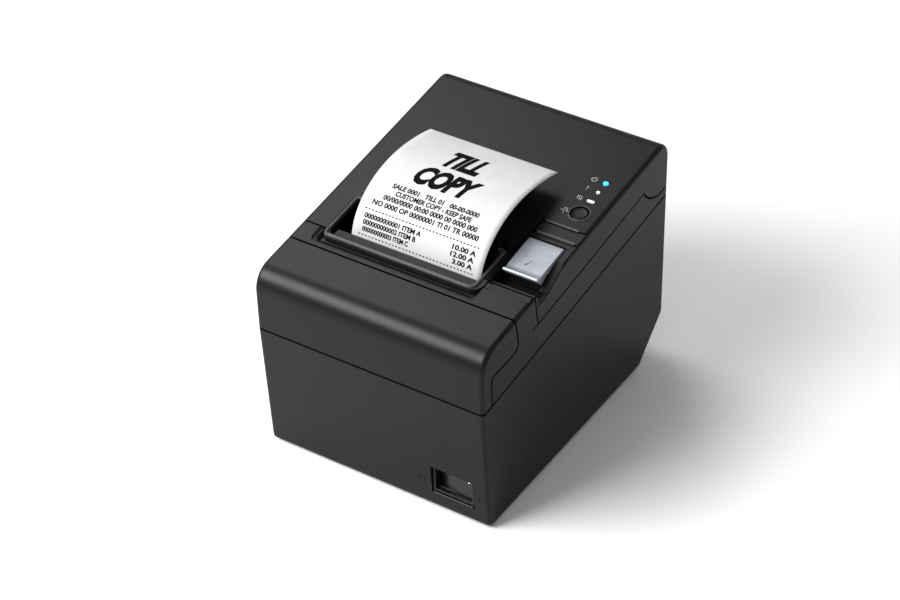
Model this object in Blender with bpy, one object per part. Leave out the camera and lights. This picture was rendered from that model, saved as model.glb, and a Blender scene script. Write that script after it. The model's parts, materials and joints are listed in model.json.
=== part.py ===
"""Desktop thermal receipt printer, built as separate named pieces.

Lengths below are in millimetres and become metres when a mesh is made.
X runs across the printer, the front faces -Y, Z is up, and the feet stand on z = 0.
"""
import math

import bmesh
import bpy
import numpy as np
from mathutils import Matrix, Vector

MM = 0.001
GAP = 0.3                    # clearance between neighbouring pieces

# casing
HALF_WIDTH = 70.0
HALF_DEPTH = 93.5
FLOOR_Z = 1.2                # underside of the casing, held up by the feet
FRONT_FOOT_Y = -89.5         # the front face leans back towards the floor
REAR_FLAT_Y = 66.0           # the underside turns up into the rear chamfer here
REAR_CHAMFER = (91.0, 24.0)
TOP_AT_MIDDLE = 127.5        # height of the sloping top at y = 0
TOP_SLOPE = 0.125
FRONT_ROUND = 13.5
REAR_ROUND = 9.0
REAR_LEAN = 0.24             # the rear face, drawn up to the top's corner, leans this far past the depth
SIDE_ROUND = 2.4
WALL = 2.5
SEAM = 0.25                  # half of the width of a casing seam

# lower seam, between the lower casing and what stands on it
SEAM_FRONT_Z = 80.0
SEAM_RISE = 0.128

# roll paper cover
HINGE_Y = 84.5
HINGE_Z = TOP_AT_MIDDLE + TOP_SLOPE * HINGE_Y - REAR_ROUND * math.hypot(1, TOP_SLOPE)
COVER_FRONT_RADIUS = 128.0
COVER_FRONT_RADIUS_LEFT = 132.7
COVER_SKIRT_RADIUS = 20.6
SKIRT_SEARCH = (-150.5, -100.5, 0.25)    # angles tried, in degrees, for where the skirt meets the seam
SKIRT_END = -45
COVER_SEAM_Z = 109.4         # height of the cover's side seam at y = 0
COVER_SEAM_RISE = 0.143
ARM_X = (HALF_WIDTH - WALL - 6.5, HALF_WIDTH - WALL - 0.5)     # arms that hold the hinge pins
EAR_X = (ARM_X[0] - 4.6, ARM_X[0] - 0.6)                       # the cover's ears beside them

# paper exit
EXIT_LEFT = -52.0
EXIT_RIGHT = 39.0
EXIT_FRONT_Y = -48.5
EXIT_REAR_Y = -22.0
RIM_WIDTH = 3.0

# cutter cover
CUTTER_COVER_REAR_Y = -62.0
CUTTER_COVER_SIDE_Z = 99.2

# platen, paper and print head
PAPER_LEFT = -42.4
PAPER_RIGHT = 37.2
PAPER_MIDDLE = (PAPER_LEFT + PAPER_RIGHT) / 2
PLATEN_Y = -33.9
PLATEN_Z = 99.4
PLATEN_RADIUS = 7.0
SHAFT_RADIUS = 3.0
BEARING_RADIUS = 4.5
NIP_ANGLE = math.radians(200)
ROLL_Y = 25.0
ROLL_Z = 60.0
ROLL_RADIUS = 40.0
CORE_RADIUS = 8.5
PAPER_THICKNESS = 0.2
TROUGH_RADIUS = 42.5
TROUGH_WALL = 1.8

# gears
MODULE = 0.8
GEAR_PLAY = 0.15
PLATEN_TEETH = 20
IDLER_TEETH = 24
SECOND_IDLER_TEETH = 20
PINION_TEETH = 12
CUTTER_TEETH = 20
CUTTER_PINION_TEETH = 8
GEAR_X = (-58.0, -54.0)

# mechanism frame
PLATE_LEFT = (-50.2, -49.0)
PLATE_RIGHT = (43.8, 45.0)
FRAME_TOP = 104.6
FRAME_FRONT_Y = -79.2

# cutter
FEED_MOTOR_RADIUS = 17.5
UNDER_MOTOR = 3.9            # room between the feed motor and the frame's floor
UNDER_FRAME = 5.6            # from the frame's floor down to the roll holder's flange
FLANGE_THICK = 2.4
CUTTER_BASE_Z = (105.0, 106.2)
BLADE_Z = (107.8, 108.4)
FIXED_BLADE_Z = (108.9, 109.7)

# open lever and panel on the cover
LEVER_X = (43.4, HALF_WIDTH - 5.6)
LEVER_Y = (-31.6, -4.8)
LEVER_DEPTH = 1.0            # the lever's face below the sloping top
LEVER_THICK = 3.2
PANEL_RIGHT = HALF_WIDTH - 1.0
BUTTON_X = 57.8
BUTTON_Y = 20.3
BUTTON_RADIUS = 4.7
SLOPE_ANGLE = math.atan(TOP_SLOPE)

# power switch
SWITCH_X = (35.2, 60.1)
SWITCH_Z = (11.6, 28.4)
ROCKER_PIVOT = (47.7, -82.6)
ROCKER_HALF = 10.4

# rear recess for the sockets
RECESS_HALF = 50.0
RECESS_Y = 70.0
RECESS_TOP = 46.0

# board, legs and feet
BOARD_Z = (5.6, 7.2)
BOARD_REAR_Y = RECESS_Y - 2 * WALL + 1.5
LEG_X = HALF_WIDTH - 13.0
LEG_YS = (-24.0, 44.0)
FOOT_X = HALF_WIDTH - 12.0
FOOT_YS = (-78.0, 56.0)
FOOT_RADIUS = 6.0


# ---------------------------------------------------------------- mesh helpers

def top_z(y, depth=0.0):
    """Height of the sloping top at y, less a depth measured straight down."""
    return TOP_AT_MIDDLE + TOP_SLOPE * y - depth


def seam_z(y):
    """Height of the lower casing seam at y."""
    return SEAM_FRONT_Z + SEAM_RISE * (y + HALF_DEPTH)


def cover_seam_z(y):
    """Height of the roll paper cover's side seam at y."""
    return COVER_SEAM_Z + COVER_SEAM_RISE * y


def arc(centre, radius, start, end, steps):
    """Points of an arc in a plane, from the start angle to the end angle in degrees."""
    angles = np.radians(np.linspace(start, end, steps + 1))
    return [(centre[0] + radius * math.cos(a), centre[1] + radius * math.sin(a)) for a in angles]


def rounded(corners, inset=0.0, steps=8):
    """A convex outline moved inwards by inset, each corner (a, b, radius) rounded, small ones coarser."""
    points = np.array([c[:2] for c in corners], float)
    count = len(points)
    normals = []
    for i in range(count):
        edge = points[(i + 1) % count] - points[i]
        edge /= np.linalg.norm(edge)
        normals.append(np.array([-edge[1], edge[0]]))
    outline = []
    for i in range(count):
        before, after = normals[i - 1], normals[i]
        corner = points[i]
        sides = np.array([before, after])
        moved = np.linalg.solve(sides, sides @ corner + inset)
        radius = corners[i][2] - inset
        turn = math.acos(max(-1.0, min(1.0, float(before @ after))))
        if radius <= 0.05 or turn < 0.1:
            outline.append(tuple(moved))
            continue
        centre = moved + (before + after) * radius / (1 + before @ after)
        start = math.degrees(math.atan2(-before[1], -before[0]))
        here = steps if corners[i][2] > 6 else max(3, steps // 2)
        outline += arc(centre, radius, start, start + math.degrees(turn), here)
    return outline


def make(name, points, faces):
    """A mesh object from points in millimetres."""
    mesh = bpy.data.meshes.new(name)
    mesh.from_pydata([tuple(c * MM for c in p) for p in points], [], faces)
    mesh.validate()
    solid = bpy.data.objects.new(name, mesh)
    bpy.context.scene.collection.objects.link(solid)
    return solid


def turn_outwards(solid):
    """Point every face of a closed mesh outwards."""
    work = bmesh.new()
    work.from_mesh(solid.data)
    bmesh.ops.recalc_face_normals(work, faces=work.faces)
    work.to_mesh(solid.data)
    work.free()


def loft(loops, name="loft"):
    """A closed solid through equal loops of 3-D points, both ends capped."""
    count = len(loops[0])
    points = [p for loop in loops for p in loop]
    faces = []
    for k in range(len(loops) - 1):
        for i in range(count):
            j = (i + 1) % count
            faces.append((k * count + i, k * count + j, (k + 1) * count + j, (k + 1) * count + i))
    faces.append(tuple(range(count)))
    faces.append(tuple(range((len(loops) - 1) * count, len(loops) * count)))
    solid = make(name, points, faces)
    turn_outwards(solid)
    return solid


def on_axis(axis, a, b, along):
    """A 3-D point from two coordinates across an axis and one along it."""
    if axis == "x":
        return (along, a, b)
    if axis == "y":
        return (a, along, b)
    return (a, b, along)


def prism(axis, outline, low, high):
    """An outline extruded along an axis."""
    return loft([[on_axis(axis, a, b, at) for a, b in outline] for at in (low, high)])


def box(x, y, z):
    """A rectangular block between three pairs of limits."""
    return prism("z", [(x[0], y[0]), (x[1], y[0]), (x[1], y[1]), (x[0], y[1])], z[0], z[1])


def soft_box(x, y, z, radius, axis="z", steps=4):
    """A block whose edges along one axis are rounded."""
    spans = {"x": (y, z, x), "y": (x, z, y), "z": (x, y, z)}[axis]
    a, b, along = spans
    corners = [(a[0], b[0], radius), (a[1], b[0], radius), (a[1], b[1], radius), (a[0], b[1], radius)]
    return prism(axis, rounded(corners, 0.0, steps), along[0], along[1])


def disc(axis, centre, radius, low, high, steps=32):
    """A cylinder along an axis."""
    return prism(axis, arc(centre, radius, 0, 360 - 360 / steps, steps - 1), low, high)


def turned(profile, steps=32):
    """A solid of revolution about Z through (radius, z) pairs, the ends capped."""
    loops = []
    for radius, z in profile:
        loops.append([(a, b, z) for a, b in arc((0, 0), radius, 0, 360 - 360 / steps, steps - 1)])
    return loft(loops)


def moved(solid, offset, tilt=0.0):
    """Tilt a solid about X and move it, in millimetres."""
    shift = Matrix.Translation(Vector(offset) * MM) @ Matrix.Rotation(tilt, 4, "X")
    solid.data.transform(shift)
    return solid


def bake(solid):
    """Replace a solid's mesh by the result of its modifiers."""
    graph = bpy.context.evaluated_depsgraph_get()
    mesh = bpy.data.meshes.new_from_object(solid.evaluated_get(graph))
    solid.modifiers.clear()
    solid.data = mesh


def combine(solid, other, operation):
    """Apply one Boolean with another solid, which is used up."""
    step = solid.modifiers.new("step", "BOOLEAN")
    step.operation = operation
    step.solver = "EXACT"
    step.object = other
    bake(solid)
    bpy.data.objects.remove(other)


def joined(solid, *others):
    """Add other solids to the first."""
    for other in others:
        combine(solid, other, "UNION")
    return solid


def cut(solid, *others):
    """Take other solids away from the first."""
    for other in others:
        combine(solid, other, "DIFFERENCE")
    return solid


def common(solid, other):
    """Keep what two solids share."""
    combine(solid, other, "INTERSECT")
    return solid


def material(name, colour, roughness, metallic=0.0):
    """One Principled material."""
    made = bpy.data.materials.new(name)
    made.use_nodes = True
    shader = made.node_tree.nodes["Principled BSDF"]
    shader.inputs["Base Color"].default_value = (*colour, 1.0)
    shader.inputs["Roughness"].default_value = roughness
    shader.inputs["Metallic"].default_value = metallic
    made.diffuse_color = (*colour, 1.0)
    return made


def finish(solid, name, look, origin=(0.0, 0.0, 0.0), angle=32):
    """Name a finished piece, clean its mesh, give it a material, an origin and its shading."""
    solid.name = name
    solid.data.name = name
    work = bmesh.new()
    work.from_mesh(solid.data)
    bmesh.ops.remove_doubles(work, verts=work.verts, dist=2e-6)
    bmesh.ops.dissolve_degenerate(work, edges=work.edges, dist=2e-6)
    work.to_mesh(solid.data)
    work.free()
    solid.data.materials.clear()
    solid.data.materials.append(material(name + "_finish", *look))
    solid.data.polygons.foreach_set("use_smooth", [True] * len(solid.data.polygons))
    solid.data.set_sharp_from_angle(angle=math.radians(angle))
    solid.data.transform(Matrix.Translation(Vector(origin) * -MM))
    solid.location = Vector(origin) * MM
    return solid


CHARCOAL = ((0.043, 0.044, 0.046), 0.5)
DARK_PLASTIC = ((0.018, 0.018, 0.019), 0.55)
BLACK_PLASTIC = ((0.008, 0.008, 0.008), 0.5)
SILVER_PLASTIC = ((0.43, 0.46, 0.50), 0.4)
STEEL = ((0.55, 0.55, 0.56), 0.3, 1.0)
ZINC = ((0.45, 0.46, 0.47), 0.4, 1.0)
WHITE_GEAR = ((0.75, 0.74, 0.70), 0.45)
BLACK_RUBBER = ((0.015, 0.015, 0.015), 0.75)
PAPER_WHITE = ((0.88, 0.88, 0.86), 0.8)
BOARD_GREEN = ((0.02, 0.13, 0.06), 0.45)
HINGE = (0.0, HINGE_Y, HINGE_Z)


# ---------------------------------------------------------------- casing

def side_corners():
    """The casing's side outline, counter-clockwise as (y, z, corner radius)."""
    rear_y = HALF_DEPTH + REAR_LEAN
    return [
        (FRONT_FOOT_Y, FLOOR_Z, 3.0),
        (REAR_FLAT_Y, FLOOR_Z, 5.0),
        (REAR_CHAMFER[0], REAR_CHAMFER[1], 5.0),
        (rear_y, top_z(rear_y), REAR_ROUND),
        (-HALF_DEPTH, top_z(-HALF_DEPTH), FRONT_ROUND),
        (-HALF_DEPTH, SEAM_FRONT_Z, 0.0),
    ]


def casing_block():
    """The whole outside of the casing, its side edges rounded."""
    loops = []
    angles = [math.radians(a) for a in (90, 60, 30, 0)]
    stations = [(-HALF_WIDTH + SIDE_ROUND * (1 - math.sin(a)), SIDE_ROUND * (1 - math.cos(a)))
                for a in angles]
    stations += [(-x, inset) for x, inset in reversed(stations)]
    for x, inset in stations:
        loops.append([(x, y, z) for y, z in rounded(side_corners(), inset)])
    return loft(loops)


def casing_inside():
    """The hollow of the casing."""
    return prism("x", rounded(side_corners(), WALL), -HALF_WIDTH + WALL, HALF_WIDTH - WALL)


def across(outline):
    """A side outline taken across more than the whole width."""
    return prism("x", outline, -HALF_WIDTH - 10, HALF_WIDTH + 10)


def lower_region():
    """Everything under the lower seam."""
    low, front, rear = -10.0, -110.0, 110.0
    return across([(front, low), (rear, low), (rear, seam_z(rear) - SEAM), (front, seam_z(front) - SEAM)])


def cutter_cover_edge(offset):
    """Rear edge of the cutter cover from the lower seam to above the top, moved back by offset."""
    side = CUTTER_COVER_SIDE_Z - offset
    return [
        (-85.3 + offset, seam_z(-85.3) - 3),
        (-85.3 + offset, side - 2.6),
        (-84.4 + offset, side - 0.6),
        (-82.6 + offset, side),
        (-65.0 + offset, side + 0.5),
        (-61.0 + offset, side + 2.0),
        (-59.9 + offset, side + 5.0),
        (-60.2 + offset, 107.0),
        (CUTTER_COVER_REAR_Y + offset, top_z(CUTTER_COVER_REAR_Y)),
        (CUTTER_COVER_REAR_Y + offset, 150.0),
    ]


def front_arc(radius, low_z, high_z, steps=6):
    """Points on the cover's front edge, an arc about the hinge, from low to high."""
    start = math.degrees(math.asin((low_z - HINGE_Z) / radius))
    end = math.degrees(math.asin((high_z - HINGE_Z) / radius))
    return arc((HINGE_Y, HINGE_Z), radius, 180 - start, 180 - end, steps)


def cover_tip_z(radius):
    """Height at which the cover's front edge meets its side seam."""
    reach = HINGE_Y - math.sqrt(radius ** 2 - (HINGE_Z - 104) ** 2)
    return cover_seam_z(reach)


def skirt_arc(radius, shift):
    """The skirt round the hinge, from where it meets the side seam to behind the rear face."""
    angles = np.arange(SKIRT_SEARCH[0], SKIRT_SEARCH[1], SKIRT_SEARCH[2])
    y = HINGE_Y + radius * np.cos(np.radians(angles))
    z = HINGE_Z + radius * np.sin(np.radians(angles))
    start = float(angles[np.argmax(z <= cover_seam_z(y) + shift)])
    return arc((HINGE_Y, HINGE_Z), radius, start, SKIRT_END, 14)


def cover_region(front_radius, shift, skirt):
    """The roll paper cover's side region: above the seam moved up by shift, inside its arcs."""
    outline = front_arc(front_radius, cover_tip_z(front_radius) + shift, 145.0)
    outline.reverse()
    outline += skirt_arc(skirt, shift)
    outline += [(115.0, outline[-1][1]), (115.0, 150.0), (outline[0][0], 150.0)]
    return outline


def side_walls_of_recess():
    """The block that the rear recess is cut into."""
    return box((-RECESS_HALF - 2, RECESS_HALF + 2), (RECESS_Y - 2, HALF_DEPTH + 5), (-5, RECESS_TOP + 2))


def socket_holes():
    """Openings in the recess wall for the four sockets."""
    holes = []
    for _, x, z, kind in SOCKETS:
        half, height = SOCKET_SIZES[kind]
        holes.append(box((x - half - GAP, x + half + GAP), (RECESS_Y - 4, RECESS_Y + 4),
                         (z - GAP, z + height + GAP)))
    return holes


SOCKET_SIZES = {"round": (6.5, 13.0), "square": (6.0, 11.0), "clip": (6.6, 12.5), "d_shape": (15.4, 12.5)}
SOCKETS = (
    ("dc_inlet", -40.0, 7.6, "round"),
    ("usb_socket", -20.0, 7.6, "square"),
    ("drawer_socket", -1.5, 7.6, "clip"),
    ("serial_port", 26.0, 7.6, "d_shape"),
)


def foot_places():
    """Centres of the four feet."""
    return [(side * FOOT_X, y) for y in FOOT_YS for side in (-1, 1)]


def leg_places():
    """Centres of the four legs and their screws."""
    return [(side * LEG_X, y) for y in LEG_YS for side in (-1, 1)]


def make_lower_case():
    """Lower casing: tray, front wall with the switch opening, rear recess, screw pillars."""
    block = casing_block()
    case = common(casing_block(), lower_region())
    case = cut(case, casing_inside())
    recess = common(common(side_walls_of_recess(), block), box((-60, 60), (60, 110), (-10, 60)))
    case = joined(case, recess)
    case = cut(case, box((-RECESS_HALF, RECESS_HALF), (RECESS_Y, HALF_DEPTH + 10), (-10, RECESS_TOP)))
    case = cut(case, *socket_holes())
    pillars = [disc("z", place, 5.2, FLOOR_Z + 1, 8.7) for place in leg_places()]
    posts = [disc("z", (x, y), 2.2, FLOOR_Z + 1, BOARD_Z[0] - GAP, 16)
             for x in (-44.0, 44.0) for y in (-30.0, 48.0)]
    case = joined(case, *pillars, *posts)
    case = cut(case, *[disc("z", place, 3.3, -1, 5.0) for place in leg_places()])
    case = cut(case, *[disc("z", place, 1.8, 4, 12, 20) for place in leg_places()])
    case = cut(case, *[disc("z", place, FOOT_RADIUS + GAP, -1, 2.4) for place in foot_places()])
    case = cut(case, box((SWITCH_X[0] - GAP, SWITCH_X[1] + GAP), (-95, -84),
                         (SWITCH_Z[0] - GAP, SWITCH_Z[1] + GAP)))
    return finish(case, "lower_case", CHARCOAL)


def bracket_outline():
    """Side outline of the arm that carries a hinge pin: up from the casing's side, then back to the hinge."""
    tip = arc((HINGE_Y, HINGE_Z), 5.0, -90, 100, 10)
    return [(46.0, 104.0), (62.0, 104.0), (62.6, HINGE_Z - 5.0)] + tip + [(54.0, 129.6), (46.0, 114.6)]


def make_upper_case():
    """Upper casing: sides, the band in front of the paper exit, rear strip, hinge arms."""
    rear = 110.0
    edge = cutter_cover_edge(SEAM)
    edge[0] = (edge[0][0], seam_z(edge[0][0]) + SEAM)
    radius = COVER_FRONT_RADIUS_LEFT + SEAM
    outline = [(rear, seam_z(rear) + SEAM)]
    outline += list(reversed(skirt_arc(COVER_SKIRT_RADIUS + SEAM, -SEAM)))
    outline[1:1] = [(rear, outline[1][1])]
    outline += front_arc(radius, cover_tip_z(radius) - SEAM, 145.0)
    outline += [(outline[-1][0], 150.0)]
    outline += list(reversed(edge))
    case = common(casing_block(), across(list(reversed(outline))))
    case = cut(case, casing_inside())
    right = cover_band_fill()
    case = joined(case, right)
    pocket = exit_outline(RIM_WIDTH + GAP)
    case = cut(case, prism("z", pocket, 100, 150))
    groove = [(-58.6, top_z(-58.6)), (-57.4, top_z(-57.4, 0.5)), (-40.0, top_z(-40.0, 0.5)),
              (-40.0, top_z(-40) + 5), (-58.6, top_z(-58.6) + 5)]
    case = cut(case, prism("x", groove, EXIT_LEFT - 5.5, EXIT_RIGHT + 6.0))
    for side in (-1, 1):
        inner, outer = sorted((side * ARM_X[0], side * ARM_X[1]))
        arm = prism("x", bracket_outline(), inner, outer)
        case = joined(case, arm)
        low, high = sorted((side * (ARM_X[1] - 1.0), side * (ARM_X[1] + 1.5)))
        pad = prism("x", [(46.0, 104.0), (60.0, 104.0), (60.0, 116.0), (46.0, 114.2)], low, high)
        case = joined(case, pad)
        case = cut(case, disc("x", (HINGE_Y, HINGE_Z), 2.8, inner - 1, outer + 1, 20))
    return finish(case, "upper_case", CHARCOAL)


def cover_band_fill():
    """Right of the paper exit the front band reaches further back than on the left."""
    radius = COVER_FRONT_RADIUS + SEAM
    wide = COVER_FRONT_RADIUS_LEFT + SEAM + 1.5
    rear = front_arc(radius, cover_tip_z(radius) - SEAM, 121.9)
    front = front_arc(wide, cover_tip_z(radius) - SEAM, 120.5)
    band = prism("x", rear + list(reversed(front)), 0.0, HALF_WIDTH + 5)
    shell = cut(casing_block(), casing_inside())
    return common(shell, band)


def exit_outline(margin):
    """Plan outline of the paper exit, grown by a margin."""
    return rounded([
        (EXIT_LEFT - margin, EXIT_FRONT_Y - margin - 1.8, 2.0 + margin),
        (EXIT_RIGHT + margin, EXIT_FRONT_Y - margin - 1.8, 3.2 + margin),
        (EXIT_RIGHT + margin, EXIT_REAR_Y + margin, 2.2 + margin),
        (EXIT_LEFT - margin, EXIT_REAR_Y + margin, 1.2 + margin),
    ])


def make_cutter_cover():
    """Cutter cover: rounded front and top, a tongue down each side, slides forward."""
    outline = [(-110.0, seam_z(-110) + SEAM)]
    edge = cutter_cover_edge(-SEAM)
    edge[0] = (edge[0][0], seam_z(edge[0][0]) + SEAM)
    outline += edge + [(-110.0, 150.0)]
    cover = common(casing_block(), across(outline))
    cover = cut(cover, casing_inside())
    for x in (-38.0, 30.0):
        rib = prism("x", [(-91.5, 104.0), (-90.0, 104.0), (-84.0, 112.2), (-66.0, 115.6), (-66.0, 118.2),
                          (-84.0, 115.4), (-89.5, 111.0), (-91.5, 106.0)], x, x + 1.6)
        cover = joined(cover, rib)
    return finish(cover, "cutter_cover", CHARCOAL)


def make_exit_rim():
    """Rim of the paper exit: a rounded bar in front with a short leg at each end, stepped inside."""
    rim = prism("z", exit_outline(RIM_WIDTH), 108, 125)
    rim = cut(rim, prism("z", exit_outline(0.0), 100, 130))
    crown = [(-60.0, top_z(-60) - 0.9), (-53.2, top_z(-53.2) + 0.2), (-52.2, top_z(-52.2) + 0.9),
             (-50.6, top_z(-50.6) + 0.9), (-30.0, top_z(-30) + 0.9), (-30.0, 90.0), (-60.0, 90.0)]
    rim = common(rim, across(crown))
    bottom = [(-60.0, 112.4), (-51.5, 112.4), (-46.0, 115.0), (-20.0, 118.0), (-20.0, 140.0), (-60.0, 140.0)]
    rim = common(rim, across(bottom))
    radius = COVER_FRONT_RADIUS + SEAM
    keep = [(-60.0, 100.0)] + front_arc(radius, 101.0, 130.0) + [(-60.0, 140.0)]
    rim = common(rim, across(list(reversed(keep))))
    radius = COVER_FRONT_RADIUS_LEFT + SEAM
    behind = front_arc(radius, 101.0, 130.0) + [(-20.0, 130.0), (-20.0, 101.0)]
    rim = cut(rim, prism("x", behind, -80.0, EXIT_LEFT + 0.2))
    for k in range(3):
        y = EXIT_FRONT_Y - 1.8
        z = top_z(y) - 1.9 - 1.6 * k
        rim = joined(rim, box((EXIT_LEFT - 1, EXIT_RIGHT + 1), (y - 0.6, y + 0.5), (z - 0.4, z + 0.4)))
    return finish(rim, "exit_rim", DARK_PLASTIC)


def slope_slab(x, y, depth_top, depth_low):
    """A slab that follows the sloping top between two depths."""
    outline = [(y[0], top_z(y[0], depth_low)), (y[1], top_z(y[1], depth_low)),
               (y[1], top_z(y[1], depth_top)), (y[0], top_z(y[0], depth_top))]
    return prism("x", outline, x[0], x[1])


def make_roll_cover():
    """Roll paper cover: top, skirts and rear round, with lever recess, panel steps and hinge ears."""
    wide = COVER_FRONT_RADIUS_LEFT - SEAM
    narrow = COVER_FRONT_RADIUS - SEAM
    skirt = COVER_SKIRT_RADIUS - SEAM
    left = prism("x", cover_region(wide, SEAM, skirt), -HALF_WIDTH - 10, 0.0)
    right = prism("x", cover_region(narrow, SEAM, skirt), -1.0, HALF_WIDTH + 10)
    cover = common(casing_block(), joined(left, right))
    hollow = cut(casing_inside(), slope_slab((41.7, HALF_WIDTH), (-60.0, -2.0), 0.0, 10.0))
    for side in (-1, 1):
        low, high = sorted((side * EAR_X[0], side * EAR_X[1]))
        ear = [(HINGE_Y - 12, 134.0)] + arc((HINGE_Y, HINGE_Z), 5.4, 190, 350, 12)
        ear += [(HINGE_Y + 5.4, 140.0), (HINGE_Y - 12, 140.0)]
        hollow = cut(hollow, prism("x", ear, low, high))
    cover = cut(cover, hollow)
    rim = prism("z", exit_outline(RIM_WIDTH), 116, 135)
    rim = common(rim, slope_slab((-60, 60), (-60, 0), -0.8, WALL))
    inside = prism("x", cover_region(narrow - 0.2, SEAM, skirt), -60.0, 80.0)
    cover = joined(cover, common(rim, inside))
    cover = cut(cover, prism("z", exit_outline(0.0), 100, 150))
    cover = cut(cover, slope_slab((42.9, PANEL_RIGHT), (-50.0, 8.3), -5.0, 0.6))
    cover = cut(cover, slope_slab((42.9, PANEL_RIGHT), (-50.0, -0.6), -5.0, 1.2))
    cover = cut(cover, slope_slab((LEVER_X[0] - 0.5, LEVER_X[1] + 0.4), (LEVER_Y[0] - 4, LEVER_Y[1] + 0.4),
                                  -5.0, LEVER_DEPTH + LEVER_THICK + 2.0))
    cover = cut(cover, slope_slab((LEVER_X[0] - 0.5, HALF_WIDTH + 5), (-41.0, LEVER_Y[0] - 0.3), -5.0, 7.5))
    button = turned([(BUTTON_RADIUS + 0.3, -8.0), (BUTTON_RADIUS + 0.3, 4.0)])
    ring = turned([(BUTTON_RADIUS + 1.1, -1.0), (BUTTON_RADIUS + 1.1, 0.25), (BUTTON_RADIUS + 0.7, 0.45)])
    place = (BUTTON_X, BUTTON_Y, top_z(BUTTON_Y))
    cover = joined(cover, moved(ring, place, SLOPE_ANGLE))
    cover = cut(cover, moved(button, place, SLOPE_ANGLE))
    for _, x, y, half, radius in LIGHTS:
        cover = cut(cover, light_solid(x, y, half, radius + 0.25, -6.0, 3.0))
    for side in (-1, 1):
        low, high = sorted((side * EAR_X[0], side * EAR_X[1]))
        cover = cut(cover, disc("x", (HINGE_Y, HINGE_Z), 2.8, low - 1, high + 1, 20))
    return finish(cover, "roll_cover", CHARCOAL, HINGE)


LIGHTS = (
    ("power_light", 58.1, 46.6, 0.0, 1.5),
    ("error_light", 58.1, 38.7, 0.0, 1.1),
    ("paper_light", 58.2, 31.0, 1.4, 0.9),
)


def light_solid(x, y, half, radius, low, high):
    """A round or long light guide standing square to the sloping top."""
    if half:
        outline = arc((half, 0), radius, -90, 90, 8) + arc((-half, 0), radius, 90, 270, 8)
    else:
        outline = arc((0, 0), radius, 0, 345, 23)
    return moved(prism("z", outline, low, high), (x, y, top_z(y)), SLOPE_ANGLE)


def make_lights():
    """Light guides in the panel: power, error and paper."""
    grey = (0.8, 0.8, 0.8)
    colours = {"power_light": (0.05, 0.35, 0.75), "error_light": grey, "paper_light": grey}
    for name, x, y, half, radius in LIGHTS:
        finish(light_solid(x, y, half, radius, -4.6, 0.15), name, (colours[name], 0.3), HINGE)


def make_panel_board():
    """Small circuit board under the button and the lights, with the button's switch on it."""
    board = slope_slab((45.0, 60.5), (12.0, 50.5), 7.6, 9.2)
    switch = moved(box((-3, 3), (-3, 3), (-8.0, -6.5)), (BUTTON_X, BUTTON_Y, top_z(BUTTON_Y)), SLOPE_ANGLE)
    return finish(joined(board, switch), "panel_board", BOARD_GREEN, HINGE)


def make_feed_button():
    """Paper feed button: dished cap, stem and a flange under the cover."""
    cap = turned([(1.8, -5.0), (1.8, -4.2), (BUTTON_RADIUS + 1.0, -4.2), (BUTTON_RADIUS + 1.0, -3.2),
                  (BUTTON_RADIUS, -3.0), (BUTTON_RADIUS, -0.1), (BUTTON_RADIUS - 0.5, 0.3),
                  (BUTTON_RADIUS - 1.3, 0.2), (BUTTON_RADIUS - 2.4, -0.1)])
    place = (BUTTON_X, BUTTON_Y, top_z(BUTTON_Y))
    return finish(moved(cap, place, SLOPE_ANGLE), "feed_button", CHARCOAL, place)


def lever_axis():
    """Middle of the open lever's pivot."""
    y = LEVER_Y[1] - 2.4
    return (sum(LEVER_X) / 2, y, top_z(y, LEVER_DEPTH + 1.8))


def make_open_lever():
    """Cover open lever: a light tile with a turned-down front lip, rounded at its pivot end."""
    y0, y1 = LEVER_Y
    pivot = lever_axis()
    d = LEVER_DEPTH
    outline = [
        (y0, top_z(y0, d + 4.6)), (y0 + 1.4, top_z(y0, d + 4.6)), (y0 + 2.2, top_z(y0, d + 3.0)),
        (pivot[1] - 3, top_z(pivot[1] - 3, d + 3.0)),
    ]
    outline += arc((pivot[1], pivot[2]), 1.75, -100, 75, 10)
    outline += [(y0 + 1.2, top_z(y0 + 1.2, d)), (y0 + 0.3, top_z(y0, d + 0.3)), (y0, top_z(y0, d + 1.1))]
    lever = prism("x", outline, LEVER_X[0], LEVER_X[1])
    lip = slope_slab((LEVER_X[1] - 1.6, LEVER_X[1]), (y0, y0 + 9.0), d + 1.0, d + 4.6)
    return finish(joined(lever, lip), "open_lever", SILVER_PLASTIC, pivot)


# ---------------------------------------------------------------- inside the cover

def platen_holder_arm(x):
    """One arm of the platen holder, round about the platen shaft."""
    boss = arc((PLATEN_Y, PLATEN_Z), 5.2, 150, 340, 14)
    outline = [(-2.0, 123.0), (-21.0, 120.6), (-24.0, 112.4)] + boss + [(-14.0, 108.0), (-2.0, 119.5)]
    return prism("x", outline, x, x + 2.0)


def make_platen_holder():
    """Inner frame of the cover: carries the platen and, on its ledge, the fixed blade."""
    shelf = [(-1.0, 123.6), (-20.6, 121.3), (-21.4, 119.6), (-25.0, 112.0), (-33.0, 111.6), (-33.0, 110.0),
             (-23.6, 110.0), (-19.0, 118.0), (-1.0, 121.4)]
    frame = prism("x", shelf, PAPER_LEFT - 5.2, PAPER_RIGHT + 4.2)
    frame = joined(frame, platen_holder_arm(PAPER_LEFT - 5.2), platen_holder_arm(PAPER_RIGHT + 2.2))
    frame = cut(frame, disc("x", (PLATEN_Y, PLATEN_Z), SHAFT_RADIUS + GAP, -60, 60, 24))
    return finish(frame, "platen_holder", DARK_PLASTIC, HINGE)


def make_fixed_blade():
    """Fixed cutter blade under the holder's ledge, its front edge ground to a slope."""
    low, high = FIXED_BLADE_Z
    outline = [(-41.6, low), (-26.0, low), (-26.0, high), (-40.4, high), (-41.6, low + 0.3)]
    return finish(prism("x", outline, PAPER_LEFT - 2.6, PAPER_RIGHT + 1.8), "fixed_blade", STEEL, HINGE)


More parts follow.
